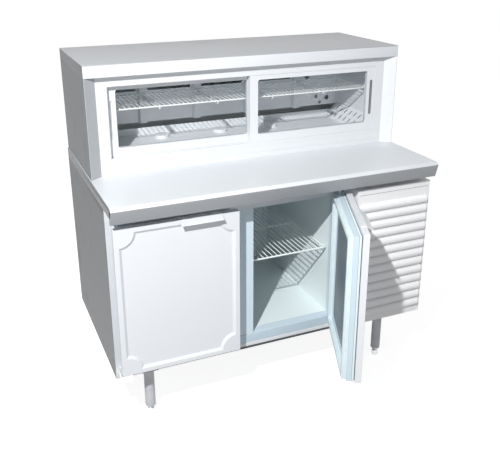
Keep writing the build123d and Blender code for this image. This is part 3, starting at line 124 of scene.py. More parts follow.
class Shader:
    """The node tree of one material, or of the world."""

    def __init__(self, name: str, world: bool = False) -> None:
        """Start an empty tree.

        Args:
            name: The name of the material or the world.
            world: True for the world's tree.
        """
        self.block = bpy.data.worlds.new(name) if world else bpy.data.materials.new(name)
        self.output = "ShaderNodeOutputWorld" if world else "ShaderNodeOutputMaterial"
        self.block.use_nodes = True
        self.tree = self.block.node_tree
        self.tree.nodes.clear()

    @staticmethod
    def _socket(sockets: Iterable[bpy.types.NodeSocket], key: str) -> bpy.types.NodeSocket:
        """Find a socket by its identifier, or else by its name.

        Args:
            sockets: A node's inputs or outputs.
            key: The socket's identifier or name.

        Returns:
            The socket.
        """
        for socket in sockets:
            if socket.identifier == key:
                return socket
        return next(socket for socket in sockets if socket.name == key)

    def node(
        self,
        kind: str,
        settings: Optional[dict] = None,
        inputs: Optional[dict] = None,
        output: Optional[str] = None,
    ) -> Signal:
        """Add a node of any type.

        Args:
            kind: The node's type.
            settings: Its settings, which are set first. "stops" holds a ramp's places and colours.
            inputs: Values or signals by the socket's identifier or name.
            output: The output that is wanted, or None for the first.

        Returns:
            The wanted output.
        """
        made = self.tree.nodes.new(kind)
        for key, value in (settings or {}).items():
            if key == "stops":
                self._set_stops(made.color_ramp, value)
            else:
                setattr(made, key, value)
        for key, value in (inputs or {}).items():
            socket = self._socket(made.inputs, key)
            if isinstance(value, Signal):
                self.tree.links.new(value.socket, socket)
            else:
                socket.default_value = value
        return Signal(self, self._socket(made.outputs, output) if output else made.outputs[0])

    @staticmethod
    def _set_stops(ramp: bpy.types.ColorRamp, stops: Sequence[Point]) -> None:
        """Give a ramp its grey stops.

        Args:
            ramp: The ramp, which starts with two stops.
            stops: Place and brightness of each stop.
        """
        while len(ramp.elements) < len(stops):
            ramp.elements.new(1.0)
        for element, (place, level) in zip(ramp.elements, stops):
            element.position = place
            element.color = grey(level)

    def place(self, stretch: Triple = (1.0, 1.0, 1.0)) -> Signal:
        """Coordinates in the row frame, in metres.

        Args:
            stretch: Factor along each axis.

        Returns:
            The coordinates.
        """
        point = self.node("ShaderNodeTexCoord", output="Object")
        inputs = {"Vector": point, "Vector_001": stretch}
        return self.node("ShaderNodeVectorMath", {"operation": "MULTIPLY"}, inputs)

    def noise(self, scale: float, detail: float, stretch: Triple = (1.0, 1.0, 1.0)) -> Signal:
        """Soft noise from 0 to 1, with features per metre, octaves and a stretch along each axis."""
        inputs = {"Vector": self.place(stretch), "Scale": scale, "Detail": detail}
        return self.node("ShaderNodeTexNoise", None, inputs, "Fac")

    def cells(self, scale: float, feature: str = "F1") -> Signal:
        """Distance in a pattern of so many cells per metre."""
        inputs = {"Vector": self.place(), "Scale": scale}
        return self.node("ShaderNodeTexVoronoi", {"feature": feature}, inputs)

    def ramp(self, signal: Signal, *stops: Point) -> Signal:
        """A signal passed through grey stops, each of them a place and a brightness."""
        return self.node("ShaderNodeValToRGB", {"stops": stops}, {"Fac": signal})

    def blend(self, factor: Value, first: Value, second: Value) -> Signal:
        """A colour between two, which is the first at a factor of 0 and the second at 1."""
        inputs = {"Factor_Float": factor, "A_Color": first, "B_Color": second}
        return self.node("ShaderNodeMix", {"data_type": "RGBA"}, inputs, "Result_Color")

    def bump(self, height: Signal, depth: float, strength: float) -> Signal:
        """A normal from a height of 0 to 1, where 1 stands for a depth in metres."""
        inputs = {"Height": height, "Distance": depth, "Strength": strength}
        return self.node("ShaderNodeBump", None, inputs)

    def split(self, axis: str) -> Signal:
        """One coordinate of the row frame, in metres: X, Y or Z."""
        return self.node("ShaderNodeSeparateXYZ", None, {"Vector": self.place()}, axis)

    def seen_directly(self) -> Signal:
        """Tell what is looked at from what only lights.

        Returns:
            1 for rays from the eye, from a reflection or through glass, and 0 for the light itself.
        """
        kinds = ("Is Camera Ray", "Is Glossy Ray", "Is Transmission Ray")
        eye, mirror, glass = (self.node("ShaderNodeLightPath", output=kind) for kind in kinds)
        return eye.math("MAXIMUM", eye, mirror.math("MAXIMUM", mirror, glass))

    def close(self, inputs: dict) -> Material:
        """Finish the material with a Principled shader that takes these values and signals."""
        return self.finish(self.node("ShaderNodeBsdfPrincipled", None, inputs))

    def finish(self, surface: Signal) -> Union[Material, bpy.types.World]:
        """Finish the material or the world with a shader.

        Args:
            surface: The shader's output.

        Returns:
            The material or the world.
        """
        output = self.tree.nodes.new(self.output)
        self.tree.links.new(surface.socket, output.inputs["Surface"])
        return self.block


def grey(level: float) -> Rgba:
    """An opaque grey of a linear level."""
    return level, level, level, 1.0


def linear(channel: float) -> float:
    """Linear value, from 0 to 1, of a display value between 0 and 255."""
    share = channel / 255
    return share / 12.92 if share <= 0.04045 else ((share + 0.055) / 1.055) ** 2.4


@dataclass(frozen=True)
class Finish:
    """What every finish has.

    Attributes:
        name: The material's name.
        colour: Its display colour, 0 to 255.
        roughness: Its roughness.
    """

    name: str
    colour: Triple
    roughness: float

    def tone(self, factor: float = 1.0) -> Rgba:
        """The colour in linear red, green, blue and alpha, lightened or darkened by a factor."""
        red, green, blue = (min(1.0, linear(channel) * factor) for channel in self.colour)
        return red, green, blue, 1.0

    def build(self) -> Material:
        """Make the material, in each kind of finish."""
        raise NotImplementedError


@dataclass(frozen=True)
class SatinSheet(Finish):
    """Satin coated or rolled sheet, with a fine rolled grain, wiped streaks and faint handling marks.

    Attributes:
        grain: Stretch of the grain along each axis.
        metal: How metallic it is.
    """

    grain: Triple = (1.0, 14.0, 14.0)
    metal: float = 0.0

    def base(self, shader: Shader, factor: float) -> Value:
        """The plain colour, lightened or darkened by a factor."""
        return self.tone(factor)

    def build(self) -> Material:
        """Make the material.

        Returns:
            The material.
        """
        shader = Shader(self.name)
        cloud = shader.noise(2.6, 3.0)
        streak = shader.noise(26.0, 3.0, self.grain)
        peel = shader.noise(900.0, 1.0)
        marks = shader.ramp(shader.noise(9.0, 5.0), (0.58, 0.0), (0.72, 1.0))
        mixed = cloud * 0.5 + streak * 0.35 + peel * 0.15
        colour = shader.blend(mixed, self.base(shader, 0.955), self.base(shader, 1.035))
        colour = shader.blend(marks * 0.12, colour, self.base(shader, 0.9))
        rough = self.roughness - 0.05 + streak * 0.07 + marks * 0.06
        normal = shader.bump(peel * 0.6 + streak * 0.4, 0.05 * MM, 0.5)
        return shader.close({"Base Color": colour, "Roughness": rough, "Normal": normal,
                             "Metallic": self.metal})


@dataclass(frozen=True)
class PaintedLightSheet(SatinSheet):
    """Satin sheet painted lighter or darker beyond two planes: painted shade on the object's outer sides and
    ends, painted light on the bay's floor.

    Attributes:
        outer: Display colour beyond the planes, painted shade on outer sides and painted light on the bay's
            floor.
        plane: Distance of the planes from their middle, in metres.
        middle: Where their middle lies along the axis, in metres.
        axis: The axis across the planes.
    """

    # Dark grey painted shade on outer side faces and ends.
    outer: Triple = (84, 87, 91)
    plane: float = 645.6 * MM
    middle: float = 0.0
    axis: str = "X"

    def base(self, shader: Shader, factor: float) -> Signal:
        """The plain colour between the planes, and the painted light colour beyond them.

        Args:
            shader: The material's tree.
            factor: Brightness against the plain colour.

        Returns:
            The colour.
        """
        # Beyond the planes the colour is painted: painted shade on outer sides and ends, painted light on the
        # bay's floor.
        across = shader.split(self.axis) - self.middle
        outside = across.math("ABSOLUTE", across) > self.plane
        painted = replace(self, colour=self.outer)
        return shader.blend(outside, self.tone(factor), painted.tone(factor))


@dataclass(frozen=True)
class MouldedPlastic(Finish):
    """Moulded plastic with a fine cast texture.

    Attributes:
        texture: Cells of the texture per metre.
    """

    texture: float = 700.0

    def build(self) -> Material:
        """Make the material.

        Returns:
            The material.
        """
        shader = Shader(self.name)
        cloud = shader.noise(5.0, 3.0)
        cell = shader.cells(self.texture, "SMOOTH_F1")
        colour = shader.blend(cloud * 0.7 + cell * 0.3, self.tone(0.95), self.tone(1.04))
        rough = self.roughness - 0.04 + cell * 0.08 + cloud * 0.05
        normal = shader.bump(cell, 0.06 * MM, 0.5)
        return shader.close({"Base Color": colour, "Roughness": rough, "Normal": normal})


@dataclass(frozen=True)
class CoatedWire(Finish):
    """Wire dipped in a glossy coat that gathers in small runs."""

    def build(self) -> Material:
        """Make the material.

        Returns:
            The material.
        """
        shader = Shader(self.name)
        runs = shader.noise(160.0, 2.0, (1.0, 0.25, 1.0))
        dust = shader.noise(14.0, 4.0)
        colour = shader.blend(dust, self.tone(0.93), self.tone(1.03))
        rough = self.roughness + dust * 0.12
        return shader.close({"Base Color": colour, "Roughness": rough, "Coat Weight": 0.35 + runs * 0.2,
                             "Coat Roughness": 0.12, "Normal": shader.bump(runs, 0.18 * MM, 0.6)})


@dataclass(frozen=True)
class BareMetal(Finish):
    """Bare metal with turned or drawn lines.

    Attributes:
        metal: How metallic it is.
        lines: Stretch of the lines along each axis.
    """

    metal: float = 0.85
    lines: Triple = (1.0, 1.0, 18.0)

    def build(self) -> Material:
        """Make the material.

        Returns:
            The material.
        """
        shader = Shader(self.name)
        drawn = shader.noise(90.0, 3.0, self.lines)
        stain = shader.ramp(shader.noise(22.0, 4.0), (0.45, 0.0), (0.75, 1.0))
        colour = shader.blend(drawn, self.tone(0.86), self.tone(1.06))
        colour = shader.blend(stain * 0.25, colour, self.tone(0.7))
        rough = self.roughness + drawn * 0.12 + stain * 0.12
        return shader.close({"Base Color": colour, "Roughness": rough, "Metallic": self.metal - stain * 0.15,
                             "Normal": shader.bump(drawn, 0.03 * MM, 0.5)})


@dataclass(frozen=True)
class SoftRubber(Finish):
    """Vinyl or rubber with a faint bloom and dust."""

    def build(self) -> Material:
        """Make the material.

        Returns:
            The material.
        """
        shader = Shader(self.name)
        bloom = shader.noise(30.0, 5.0)
        pores = shader.cells(1400.0)
        colour = shader.blend(bloom, self.tone(0.9), self.tone(1.08))
        rough = self.roughness + bloom * 0.1
        normal = shader.bump(pores, 0.04 * MM, 0.4)
        return shader.close({"Base Color": colour, "Roughness": rough, "Normal": normal})


@dataclass(frozen=True)
class FinStack(Finish):
    """Edges of thin aluminium fins, close together, with painted shade in the gaps between them.

    Attributes:
        pitch: Distance between two fins, in metres.
    """

    pitch: float = 2.6 * MM

    def build(self) -> Material:
        """Make the material.

        Returns:
            The material.
        """
        shader = Shader(self.name)
        across = shader.split("X")
        saw = across.math("PINGPONG", across, self.pitch / 2) * (2 / self.pitch)
        edge = shader.ramp(saw, (0.35, 0.0), (0.6, 1.0))
        dust = shader.noise(40.0, 4.0)
        # Dark stripes between the fin edges are painted shade in the gaps between fins.
        colour = shader.blend(edge * 0.75 + dust * 0.25, self.tone(0.28), self.tone(1.0))
        rough = self.roughness + dust * 0.15
        return shader.close({"Base Color": colour, "Roughness": rough, "Metallic": edge * 0.7,
                             "Normal": shader.bump(edge, 0.5 * MM, 0.7)})


@dataclass(frozen=True)
class WindowGlass(Finish):
    """Clear pane with a faint tint, wipe marks and light that passes through."""

    def build(self) -> Material:
        """Make the material.

        Returns:
            The material.
        """
        shader = Shader(self.name)
        edge_on = shader.node("ShaderNodeLayerWeight", None, {"Blend": 0.2}, "Fresnel")
        wipe = shader.ramp(shader.noise(7.0, 4.0, (1.0, 1.0, 2.5)), (0.5, 0.0), (0.8, 1.0))
        alpha = 0.03 + edge_on * 0.22 + wipe * 0.02
        rough = self.roughness + wipe * 0.12
        tint = shader.blend(wipe, self.tone(), self.tone(1.3))
        return shader.close({"Base Color": tint, "Roughness": rough, "Alpha": alpha, "IOR": 1.5})


class Coat(Enum):
    """The finishes of the object."""

    FRONT = SatinSheet("front_sheet", (228, 231, 235), 0.42)
    # Painted shade: beyond 649.5 mm the cabinet's outer side faces and the ends of what wears this sheet take
    # a dark grey copy.
    SIDE = PaintedLightSheet("side_sheet", (216, 219, 223), 0.46, (14.0, 1.0, 14.0), plane=649.5 * MM)
    # Painted shade: the case's outer side faces and the roof slab's ends take the dark grey copy.
    CASE_SIDE = PaintedLightSheet("case_side_sheet", (226, 229, 233), 0.42, (14.0, 1.0, 14.0))
    # Darker copy of the case's side sheet: painted shade on the left splay, with dark grey painted shade on
    # its outer face.
    CASE_LEFT = PaintedLightSheet("case_left_sheet", (172, 175, 179), 0.42, (14.0, 1.0, 14.0))
    # Painted shade: the worktop's end faces take the dark grey copy.
    TOP = PaintedLightSheet("worktop_sheet", (219, 223, 227), 0.36, (1.0, 16.0, 16.0), plane=649.5 * MM)
    # Darker copy of the worktop's sheet: painted shade on the down-facing nose.
    NOSE = SatinSheet("nose_sheet", (160, 163, 167), 0.42, (1.0, 16.0, 16.0))
    ROOF = SatinSheet("roof_sheet", (172, 175, 179), 0.4, (1.0, 16.0, 16.0))
    LOUVRE = SatinSheet("louvre_sheet", (243, 244, 246), 0.42)
    # Floor and ceiling of the bay take a lighter copy: painted light where the lamp falls on the floor.
    LINING = PaintedLightSheet("bay_lining", (241, 251, 255), 0.4, (14.0, 1.0, 14.0), outer=(242, 253, 255),
                          plane=266.5 * MM, middle=545.5 * MM, axis="Z")
    DISPLAY = SatinSheet("display_lining", (236, 240, 244), 0.38)
    FRAME = MouldedPlastic("display_frame", (222, 225, 228), 0.38)
    HANDLE = SatinSheet("handle_sheet", (236, 239, 242), 0.3, (1.0, 20.0, 20.0), 0.25)
    # Dark field: painted shade on the inner face of the open door.
    DOOR_FIELD = MouldedPlastic("door_inner_field", (110, 121, 130), 0.4)
    SILL = MouldedPlastic("sill_strip", (196, 214, 226), 0.45)
    GROOVE = MouldedPlastic("pan_groove", (168, 182, 188), 0.45)
    STRIP = MouldedPlastic("opening_strip", (214, 230, 240), 0.45)
    DOOR_PAN = MouldedPlastic("door_inner_pan", (206, 222, 232), 0.36)
    GASKET = SoftRubber("door_seal", (222, 236, 240), 0.5)
    BEAD = SoftRubber("glazing_bead", (168, 172, 176), 0.5)
    # Dark lining: painted shade in the right sliding door's pull recess; the left door's pull keeps the pale
    # frame finish.
    PULL = MouldedPlastic("pull_lining", (126, 130, 134), 0.5)
    SEAM = SoftRubber("dark_seam", (70, 74, 79), 0.6)
    WIRE = CoatedWire("shelf_wire", (246, 252, 250), 0.25)
    BRIGHT = BareMetal("bright_steel", (206, 210, 214), 0.24)
    STEEL = BareMetal("leg_steel", (206, 209, 213), 0.42, 0.05)
    GLASS = WindowGlass("pane", (120, 132, 132), 0.04)
    BLACK_PAINT = SatinSheet("black_paint", (38, 40, 43), 0.35)
    BLACK_RUBBER = SoftRubber("black_rubber", (34, 35, 37), 0.65)
    BLACK_PLASTIC = MouldedPlastic("black_plastic", (40, 42, 45), 0.45)
    FINS = FinStack("coil_fins", (196, 200, 204), 0.35)
    FAN = MouldedPlastic("fan_blades", (66, 70, 74), 0.4)
    MOTOR = SatinSheet("motor_paint", (86, 90, 95), 0.4)
    BOX = MouldedPlastic("control_box", (150, 154, 158), 0.5)
    COPPER = BareMetal("copper_pipe", (196, 122, 86), 0.28)

    def material(self) -> Material:
        """The finish's material, made once."""
        return bpy.data.materials.get(self.value.name) or self.value.build()


# Finish of each of the record's material slots, for what no sub-assembly dresses itself
SLOT_COATS = {
    "panel": Coat.FRONT,
    "sheet": Coat.LOUVRE,
    "frame_plastic": Coat.FRAME,
    "liner_metal": Coat.LINING,
    "liner_plastic": Coat.STRIP,
    "door_liner": Coat.DOOR_PAN,
    "gasket": Coat.GASKET,
    "wire": Coat.WIRE,
    "bright_steel": Coat.BRIGHT,
    "steel": Coat.STEEL,
    "glass": Coat.GLASS,
    "black_paint": Coat.BLACK_PAINT,
    "black_rubber": Coat.BLACK_RUBBER,
    "black_plastic": Coat.BLACK_PLASTIC,
    "fins": Coat.FINS,
    "fan_plastic": Coat.FAN,
    "motor_paint": Coat.MOTOR,
    "box_plastic": Coat.BOX,
    "copper": Coat.COPPER,
}


def mesh_from(name: str, bm: BMesh, smooth_deg: float = 35.0) -> Mesh:
    """Turn a bmesh into a mesh with smooth faces and sharp edges.

    Args:
        name: The mesh's name.
        bm: The bmesh, which is freed.
        smooth_deg: Edges that turn more than this stay sharp.

    Returns:
        The mesh.
    """
    bmesh.ops.recalc_face_normals(bm, faces=bm.faces)
    mesh = bpy.data.meshes.new(name)
    bm.to_mesh(mesh)
    bm.free()
    mesh.shade_smooth()
    mesh.set_sharp_from_angle(angle=math.radians(smooth_deg))
    return mesh


@dataclass(frozen=True)
class Corners:
    """Round corners of the rectangles that a profile runs round.

    Attributes:
        radius: Radius of the corners of the outermost rectangle.
        growth: Change of the radius over the distance in from it.
        steps: Steps in each corner.
    """

    radius: float = 0.0
    growth: float = 0.0
    steps: int = 6

    def loop(self, box: Box, inset: float) -> list[Point]:
        """Points round a rectangle.

        Args:
            box: Left, right, lower and upper side of the outermost rectangle.
            inset: Distance in from it.

        Returns:
            The points, anticlockwise from the right lower corner.
        """
        radius = max(self.radius + self.growth * inset, 0.01 * MM)
        reach = inset + radius
        x0, x1, z0, z1 = box[0] + reach, box[1] - reach, box[2] + reach, box[3] - reach
        points = []
        for x, z, start in ((x1, z0, -90), (x1, z1, 0), (x0, z1, 90), (x0, z0, 180)):
            for step in range(self.steps + 1):
                angle = math.radians(start + 90 * step / self.steps)
                points.append((x + radius * math.cos(angle), z + radius * math.sin(angle)))
        return points


def rounded_outline(corners: Sequence[Point], radii: Sequence[float]) -> list[Point]:
    """An outline whose corners are rounded.

    Args:
        corners: The sharp corners, in order.
        radii: Radius at each corner, 0 for a sharp one.

    Returns:
        The points of the outline.
    """
    points = []
    count = len(corners)
    for index, radius in enumerate(radii):
        corner = Vector(corners[index])
        before = (Vector(corners[index - 1]) - corner).normalized()
        after = (Vector(corners[(index + 1) % count]) - corner).normalized()
        if radius <= 0:
            points.append(tuple(corner))
            continue
        half = before.angle(after) / 2
        reach = radius / math.tan(half)
        centre = corner + (before + after).normalized() * (radius / math.sin(half))
        first = corner + before * reach - centre
        last = corner + after * reach - centre
        for step in range(BEND_STEPS + 1):
            turned = first.lerp(last, step / BEND_STEPS).normalized() * radius
            points.append(tuple(centre + turned))
    return points


def bridge(bm: BMesh, first: Row, second: Row) -> None:
    """Join two closed rows of corners with faces.

    Args:
        bm: The bmesh.
        first: One row.
        second: The other, with as many corners.
    """
    count = len(first)
    for index in range(count):
        after = (index + 1) % count
        bm.faces.new((first[index], first[after], second[after], second[index]))


def prism_along_x(
    name: str, corners: Sequence[Point], radii: Sequence[float], span: Point, edge: float = 0.0
) -> Mesh:
    """A profile in (Y, Z) run along X, with softened ends.

    Args:
        name: The mesh's name.
        corners: The profile's sharp corners, in order.
        radii: Radius at each corner, 0 for a sharp one.
        span: Left and right end.
        edge: Radius of the end edges.

    Returns:
        The mesh.
    """
    bm = bmesh.new()
    outline = rounded_outline(corners, radii)
    ends = [[bm.verts.new((x, y, z)) for y, z in outline] for x in span]
    caps = [bm.faces.new(ends[0]), bm.faces.new(ends[1][::-1])]
    bridge(bm, *ends)
    if edge > 0:
        edges = list({e for cap in caps for e in cap.edges})
        bmesh.ops.bevel(bm, geom=edges, offset=edge, segments=BEVEL_STEPS, affect="EDGES", profile=0.5)
    return mesh_from(name, bm)


def run_round(name: str, box: Box, profile: Sequence[Point], corners: Corners, ring: bool) -> Mesh:
    """A profile run round a rectangle in the (X, Z) plane, as a ring or a pressed panel.

    Args:
        name: The mesh's name.
        box: Left, right, lower and upper side of the rectangle.
        profile: Distances in from the rectangle, each with its Y.
        corners: The rectangle's corners.
        ring: True to join the profile's ends, or False to fill its last loop with a flat middle.

    Returns:
        The mesh.
    """
    bm = bmesh.new()
    rows = [[bm.verts.new((x, y, z)) for x, z in corners.loop(box, inset)] for inset, y in profile]
    for first, second in zip(rows, rows[1:]):
        bridge(bm, first, second)
    if ring:
        bridge(bm, rows[-1], rows[0])
    else:
        bm.faces.new(rows[-1])
    return mesh_from(name, bm)


def facing(point: Sequence[float], direction: Sequence[float]) -> Matrix:
    """A placement at a point, whose own Z looks along a direction."""
    turn = Vector(direction).to_track_quat("Z", "Y").to_matrix().to_4x4()
    return Matrix.Translation(Vector(point)) @ turn


@dataclass(frozen=True)
class Screw:
    """Pan head screw with a cross recess.

    Attributes:
        radius: Radius of the head.
        height: Height of the head.
        arm: Half length of the recess.
        slot: Half width of the recess.
        depth: Depth of the recess.
        levels: Shares of the radius and of the height, up the head's side.
        steps: Steps round the head.
    """

    radius: float = 4.2 * MM
    height: float = 2.0 * MM
    arm: float = 2.2 * MM
    slot: float = 0.5 * MM
    depth: float = 1.1 * MM
    levels: tuple[Point, ...] = ((1.0, 0.0), (1.0, 0.35), (0.92, 0.75), (0.72, 1.0))
    steps: int = 24

    def add(self, bm: BMesh, point: Sequence[float], direction: Sequence[float]) -> None:
        """Add the screw's head to a bmesh.

        Args:
            bm: The bmesh.
            point: Middle of the head's seat.
            direction: Where the head looks.
        """
        placement = facing(point, direction)
        turns = [2 * math.pi * step / self.steps for step in range(self.steps)]
        rows = []
        for across, up in self.levels:
            radius, height = self.radius * across, self.height * up
            row = [placement @ Vector((radius * math.cos(t), radius * math.sin(t), height)) for t in turns]
            rows.append([bm.verts.new(place) for place in row])
        for first, second in zip(rows, rows[1:]):
            bridge(bm, first, second)
        cross = self._cross(bm, placement, self.height)
        floor = self._cross(bm, placement, self.height - self.depth)
        bridge(bm, cross, floor)
        bm.faces.new(floor)
        arc = self.steps // 4
        for quarter in range(4):
            outer = [rows[-1][(quarter * arc + step) % self.steps] for step in range(arc + 1)]
            inner = [cross[(quarter * 3 + step + 1) % len(cross)] for step in range(4)]
            bm.faces.new(outer + inner[::-1])

    def _cross(self, bm: BMesh, placement: Matrix, height: float) -> Row:
        """Corners of the recess at one height.

        Args:
            bm: The bmesh.
            placement: Where the screw is.
            height: Height above the seat.

        Returns:
            The twelve corners, in order.
        """
        corners = []
        for quarter in range(4):
            turn = Matrix.Rotation(math.pi / 2 * quarter, 4, "Z")
            for x, y in ((self.arm, -self.slot), (self.arm, self.slot), (self.slot, self.slot)):
                corners.append(bm.verts.new(placement @ turn @ Vector((x, y, height))))
        return corners


@dataclass
class SubAssembly:
    """Pieces that ride on one body of the frame.

    Attributes:
        nodes: The frame's nodes by name.
        body: The body's name, with which the names of a door's nodes start.
        placement: Where the pieces go that are built as if the body were closed.
    """

    nodes: Nodes
    body: str = "cabinet"
    placement: Matrix = field(default_factory=Matrix)

    def build(self) -> None:
        """Dress its nodes and make its pieces, in each kind of sub-assembly."""
        raise NotImplementedError

    def add(self, name: str, mesh: Mesh, coat: Coat, slot: str, hides: Sequence[str] = ()) -> None:
        """Put a mesh in the scene as a piece.

        Args:
            name: The piece's name.
            mesh: Its mesh.
            coat: Its finish.
            slot: The record's material slot meant for the piece; not used.
            hides: The nodes that it stands for.
        """
        mesh.transform(self.placement)
        piece = bpy.data.objects.new(name, mesh)
        bpy.context.scene.collection.objects.link(piece)
        mesh.materials.append(coat.material())
        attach(piece, self.body)
        if hides:
            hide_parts(*hides)
        LOG.info("made %s on %s", name, self.body)

    def add_screws(self, name: str, places: Sequence[Seat], screw: Screw) -> None:
        """Put screw heads in the scene as one piece.

        Args:
            name: The piece's name.
            places: Seat and direction of each head.
            screw: The kind of screw.
        """
        bm = bmesh.new()
        for point, direction in places:
            screw.add(bm, point, direction)
        self.add(name, mesh_from(name, bm, 30.0), Coat.BRIGHT, "bright_steel")

    def dress(self, name: str, coat: Coat, edge: float = 0.0) -> None:
        """Give a node of the frame its finish and soft edges.

        Args:
            name: The node's name.
            coat: Its finish.
            edge: Radius of its edges, or 0 to leave them.
        """
        node = self.nodes[name]
        for slot in node.material_slots:
            slot.material = coat.material()
        if edge > 0:
            weld = node.modifiers.new("weld", "WELD")
            weld.merge_threshold = WELD_GAP
            bevel = node.modifiers.new("edge", "BEVEL")
            bevel.width = edge
            bevel.segments = BEVEL_STEPS
            bevel.limit_method = "ANGLE"
            bevel.angle_limit = math.radians(BEVEL_ANGLE_DEG)
            shade = node.modifiers.new("shade", "WEIGHTED_NORMAL")
            shade.keep_sharp = False
        LOG.info("dressed %s", name)


@dataclass
class CabinetShell(SubAssembly):
    """Walls, lining and face of the cabinet, with the sill's strips and the rear grille's screws.

    Attributes:
        edge: Radius of the panels' edges.
        seam_foot: Height of the sill's seam over the cabinet's underside.
        fold_foot: Height of the sill's fold over the underside.
        strip_foot: Height of the sill's strip over the underside.
        strip_gap: Distance of the strip from the sill's top.
        end_gap: Distance of the strips from the cabinet's left end and from the machine base.
        strip_edge: Radius of the strips' edges.
        screw_inset: Distance of a screw from the grille's edges.
        screw_rows: Screws up each side of the grille.
        grille_back: Distance of the grille's sheet from the back of its box.
    """

    edge: float = 1.2 * MM
    seam_foot: float = 1.0 * MM
    fold_foot: float = 12.0 * MM
    strip_foot: float = 27.0 * MM
    strip_gap: float = 0.5 * MM
    end_gap: float = 1.0 * MM
    strip_edge: float = 0.6 * MM
    screw_inset: float = 9.5 * MM
    screw_rows: int = 5
    grille_back: float = 1.0 * MM

    def build(self) -> None:
        """Dress the shell, and add the sill's strips and the rear grille's screws."""
        # The side sheet's outer faces carry dark grey painted shade.
        self.dress("cabinet_side_left", Coat.SIDE, self.edge)
        self.dress("cabinet_side_right", Coat.SIDE)
        for name in ("cabinet_back", "cabinet_floor", "cabinet_roof", "bulkhead"):
            self.dress(name, Coat.FRONT, self.edge)
        self.dress("face_mullion", Coat.STRIP, self.edge)
        self.dress("cabinet_liner", Coat.LINING)
        self.dress("breaker_strips", Coat.STRIP)
        self._sill_strips()
        self._back_screws()

    def _sill_strips(self) -> None:
        """Strip and fold along the sill under the door openings, over a dark seam."""
        low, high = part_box("cabinet_floor")
        span = low.x + self.end_gap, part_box("machine_base")[0].x - self.end_gap
        head = high.z - low.z - self.strip_gap
        # name, foot and top over the underside, depth, finish and slot
        strips = (
            ("sill_strip", self.strip_foot, head, 1.6 * MM, Coat.SILL, "liner_plastic"),
            ("sill_fold", self.fold_foot, self.strip_foot, 2.2 * MM, Coat.FRONT, "panel"),
            ("sill_seam", self.seam_foot, self.fold_foot, 0.8 * MM, Coat.SEAM, "black_rubber"),
        )
        radii = [0.0, self.strip_edge, self.strip_edge, 0.0]
        for name, foot, top, depth, coat, slot in strips:
            z0, z1, face = low.z + foot, low.z + top, low.y - depth
            corners = [(low.y, z0), (face, z0), (face, z1), (low.y, z1)]
            self.add(name, prism_along_x(name, corners, radii, span), coat, slot)

    def _back_screws(self) -> None:
        """Screws round the rear grille."""
        low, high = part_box("rear_grille")
        inset = self.screw_inset
        step = (high.z - low.z - 2 * inset) / (self.screw_rows - 1)
        places = [((x, high.y - self.grille_back, low.z + inset + index * step), (0, 1, 0))
                  for x in (low.x + inset, high.x - inset) for index in range(self.screw_rows)]
        self.add_screws("rear_grille_screws", places, Screw(height=0.9 * MM, depth=0.6 * MM))


@dataclass
class Worktop(SubAssembly):
    """Folded sheet worktop with a sloped nose, and its seat on the cabinet.

    Attributes:
        nose_drop: Height of the upper slope of the nose.
        nose_bevel: Depth of that slope.
        nose_return: How far the nose's foot stands back.
        lip: Thickness of the nose's foot.
        slab: Thickness of the overhang.
        bends: Radius of the bends.
        lap: How far the sheet folds down over the nose.
        nose_gap: How far the nose stands back under the sheet's edge.
        web: Thickness of the nose behind the slope.
        end: Radius of the end edges.
    """

    nose_drop: float = 9.2 * MM
    nose_bevel: float = 15.0 * MM
    nose_return: float = 15.2 * MM
    lip: float = 12.0 * MM
    slab: float = 40.0 * MM
    bends: float = 2.5 * MM
    lap: float = 1.2 * MM
    nose_gap: float = 0.35 * MM
    web: float = 4.0 * MM
    end: float = 0.8 * MM

    def build(self) -> None:
        """Make the worktop's sheet, nose and seat, which stand for the node."""
        low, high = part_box("worktop")
        face_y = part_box("cabinet_floor")[0].y
        under = high.z - self.slab
        slope = low.y + self.nose_bevel
        top = [(high.y, high.z), (slope, high.z), (low.y, high.z - self.nose_drop), (slope, under),
               (high.y, under)]
        foot = low.y + self.nose_return
        back = slope + self.web
        head = high.z - self.nose_drop - self.lap
        skirt = [(low.y + self.nose_gap, head), (foot, low.z), (foot + self.lip, low.z),
                 (foot + self.lip, under), (back, under), (back, head)]
        base = [(high.y, under), (face_y, under), (face_y, low.z), (high.y, low.z)]
        # The ends of the sheet and of the seat take dark grey painted shade from their sheets.
        # name, corners and their radii, and finish
        parts = (
            ("worktop_sheet", top, [1 * MM, self.bends * 3, self.bends, 0.0, 0.0], Coat.TOP),
            # The nose's darker sheet is painted shade.
            ("worktop_nose", skirt, [0.4 * MM, self.bends, 1 * MM, 0.0, 0.0, 0.0], Coat.NOSE),
            ("worktop_seat", base, [0.0] * 4, Coat.SIDE),
        )
        for name, corners, radii, coat in parts:
            mesh = prism_along_x(name, corners, radii, (low.x, high.x), self.end)
            self.add(name, mesh, coat, "panel", ("worktop",))


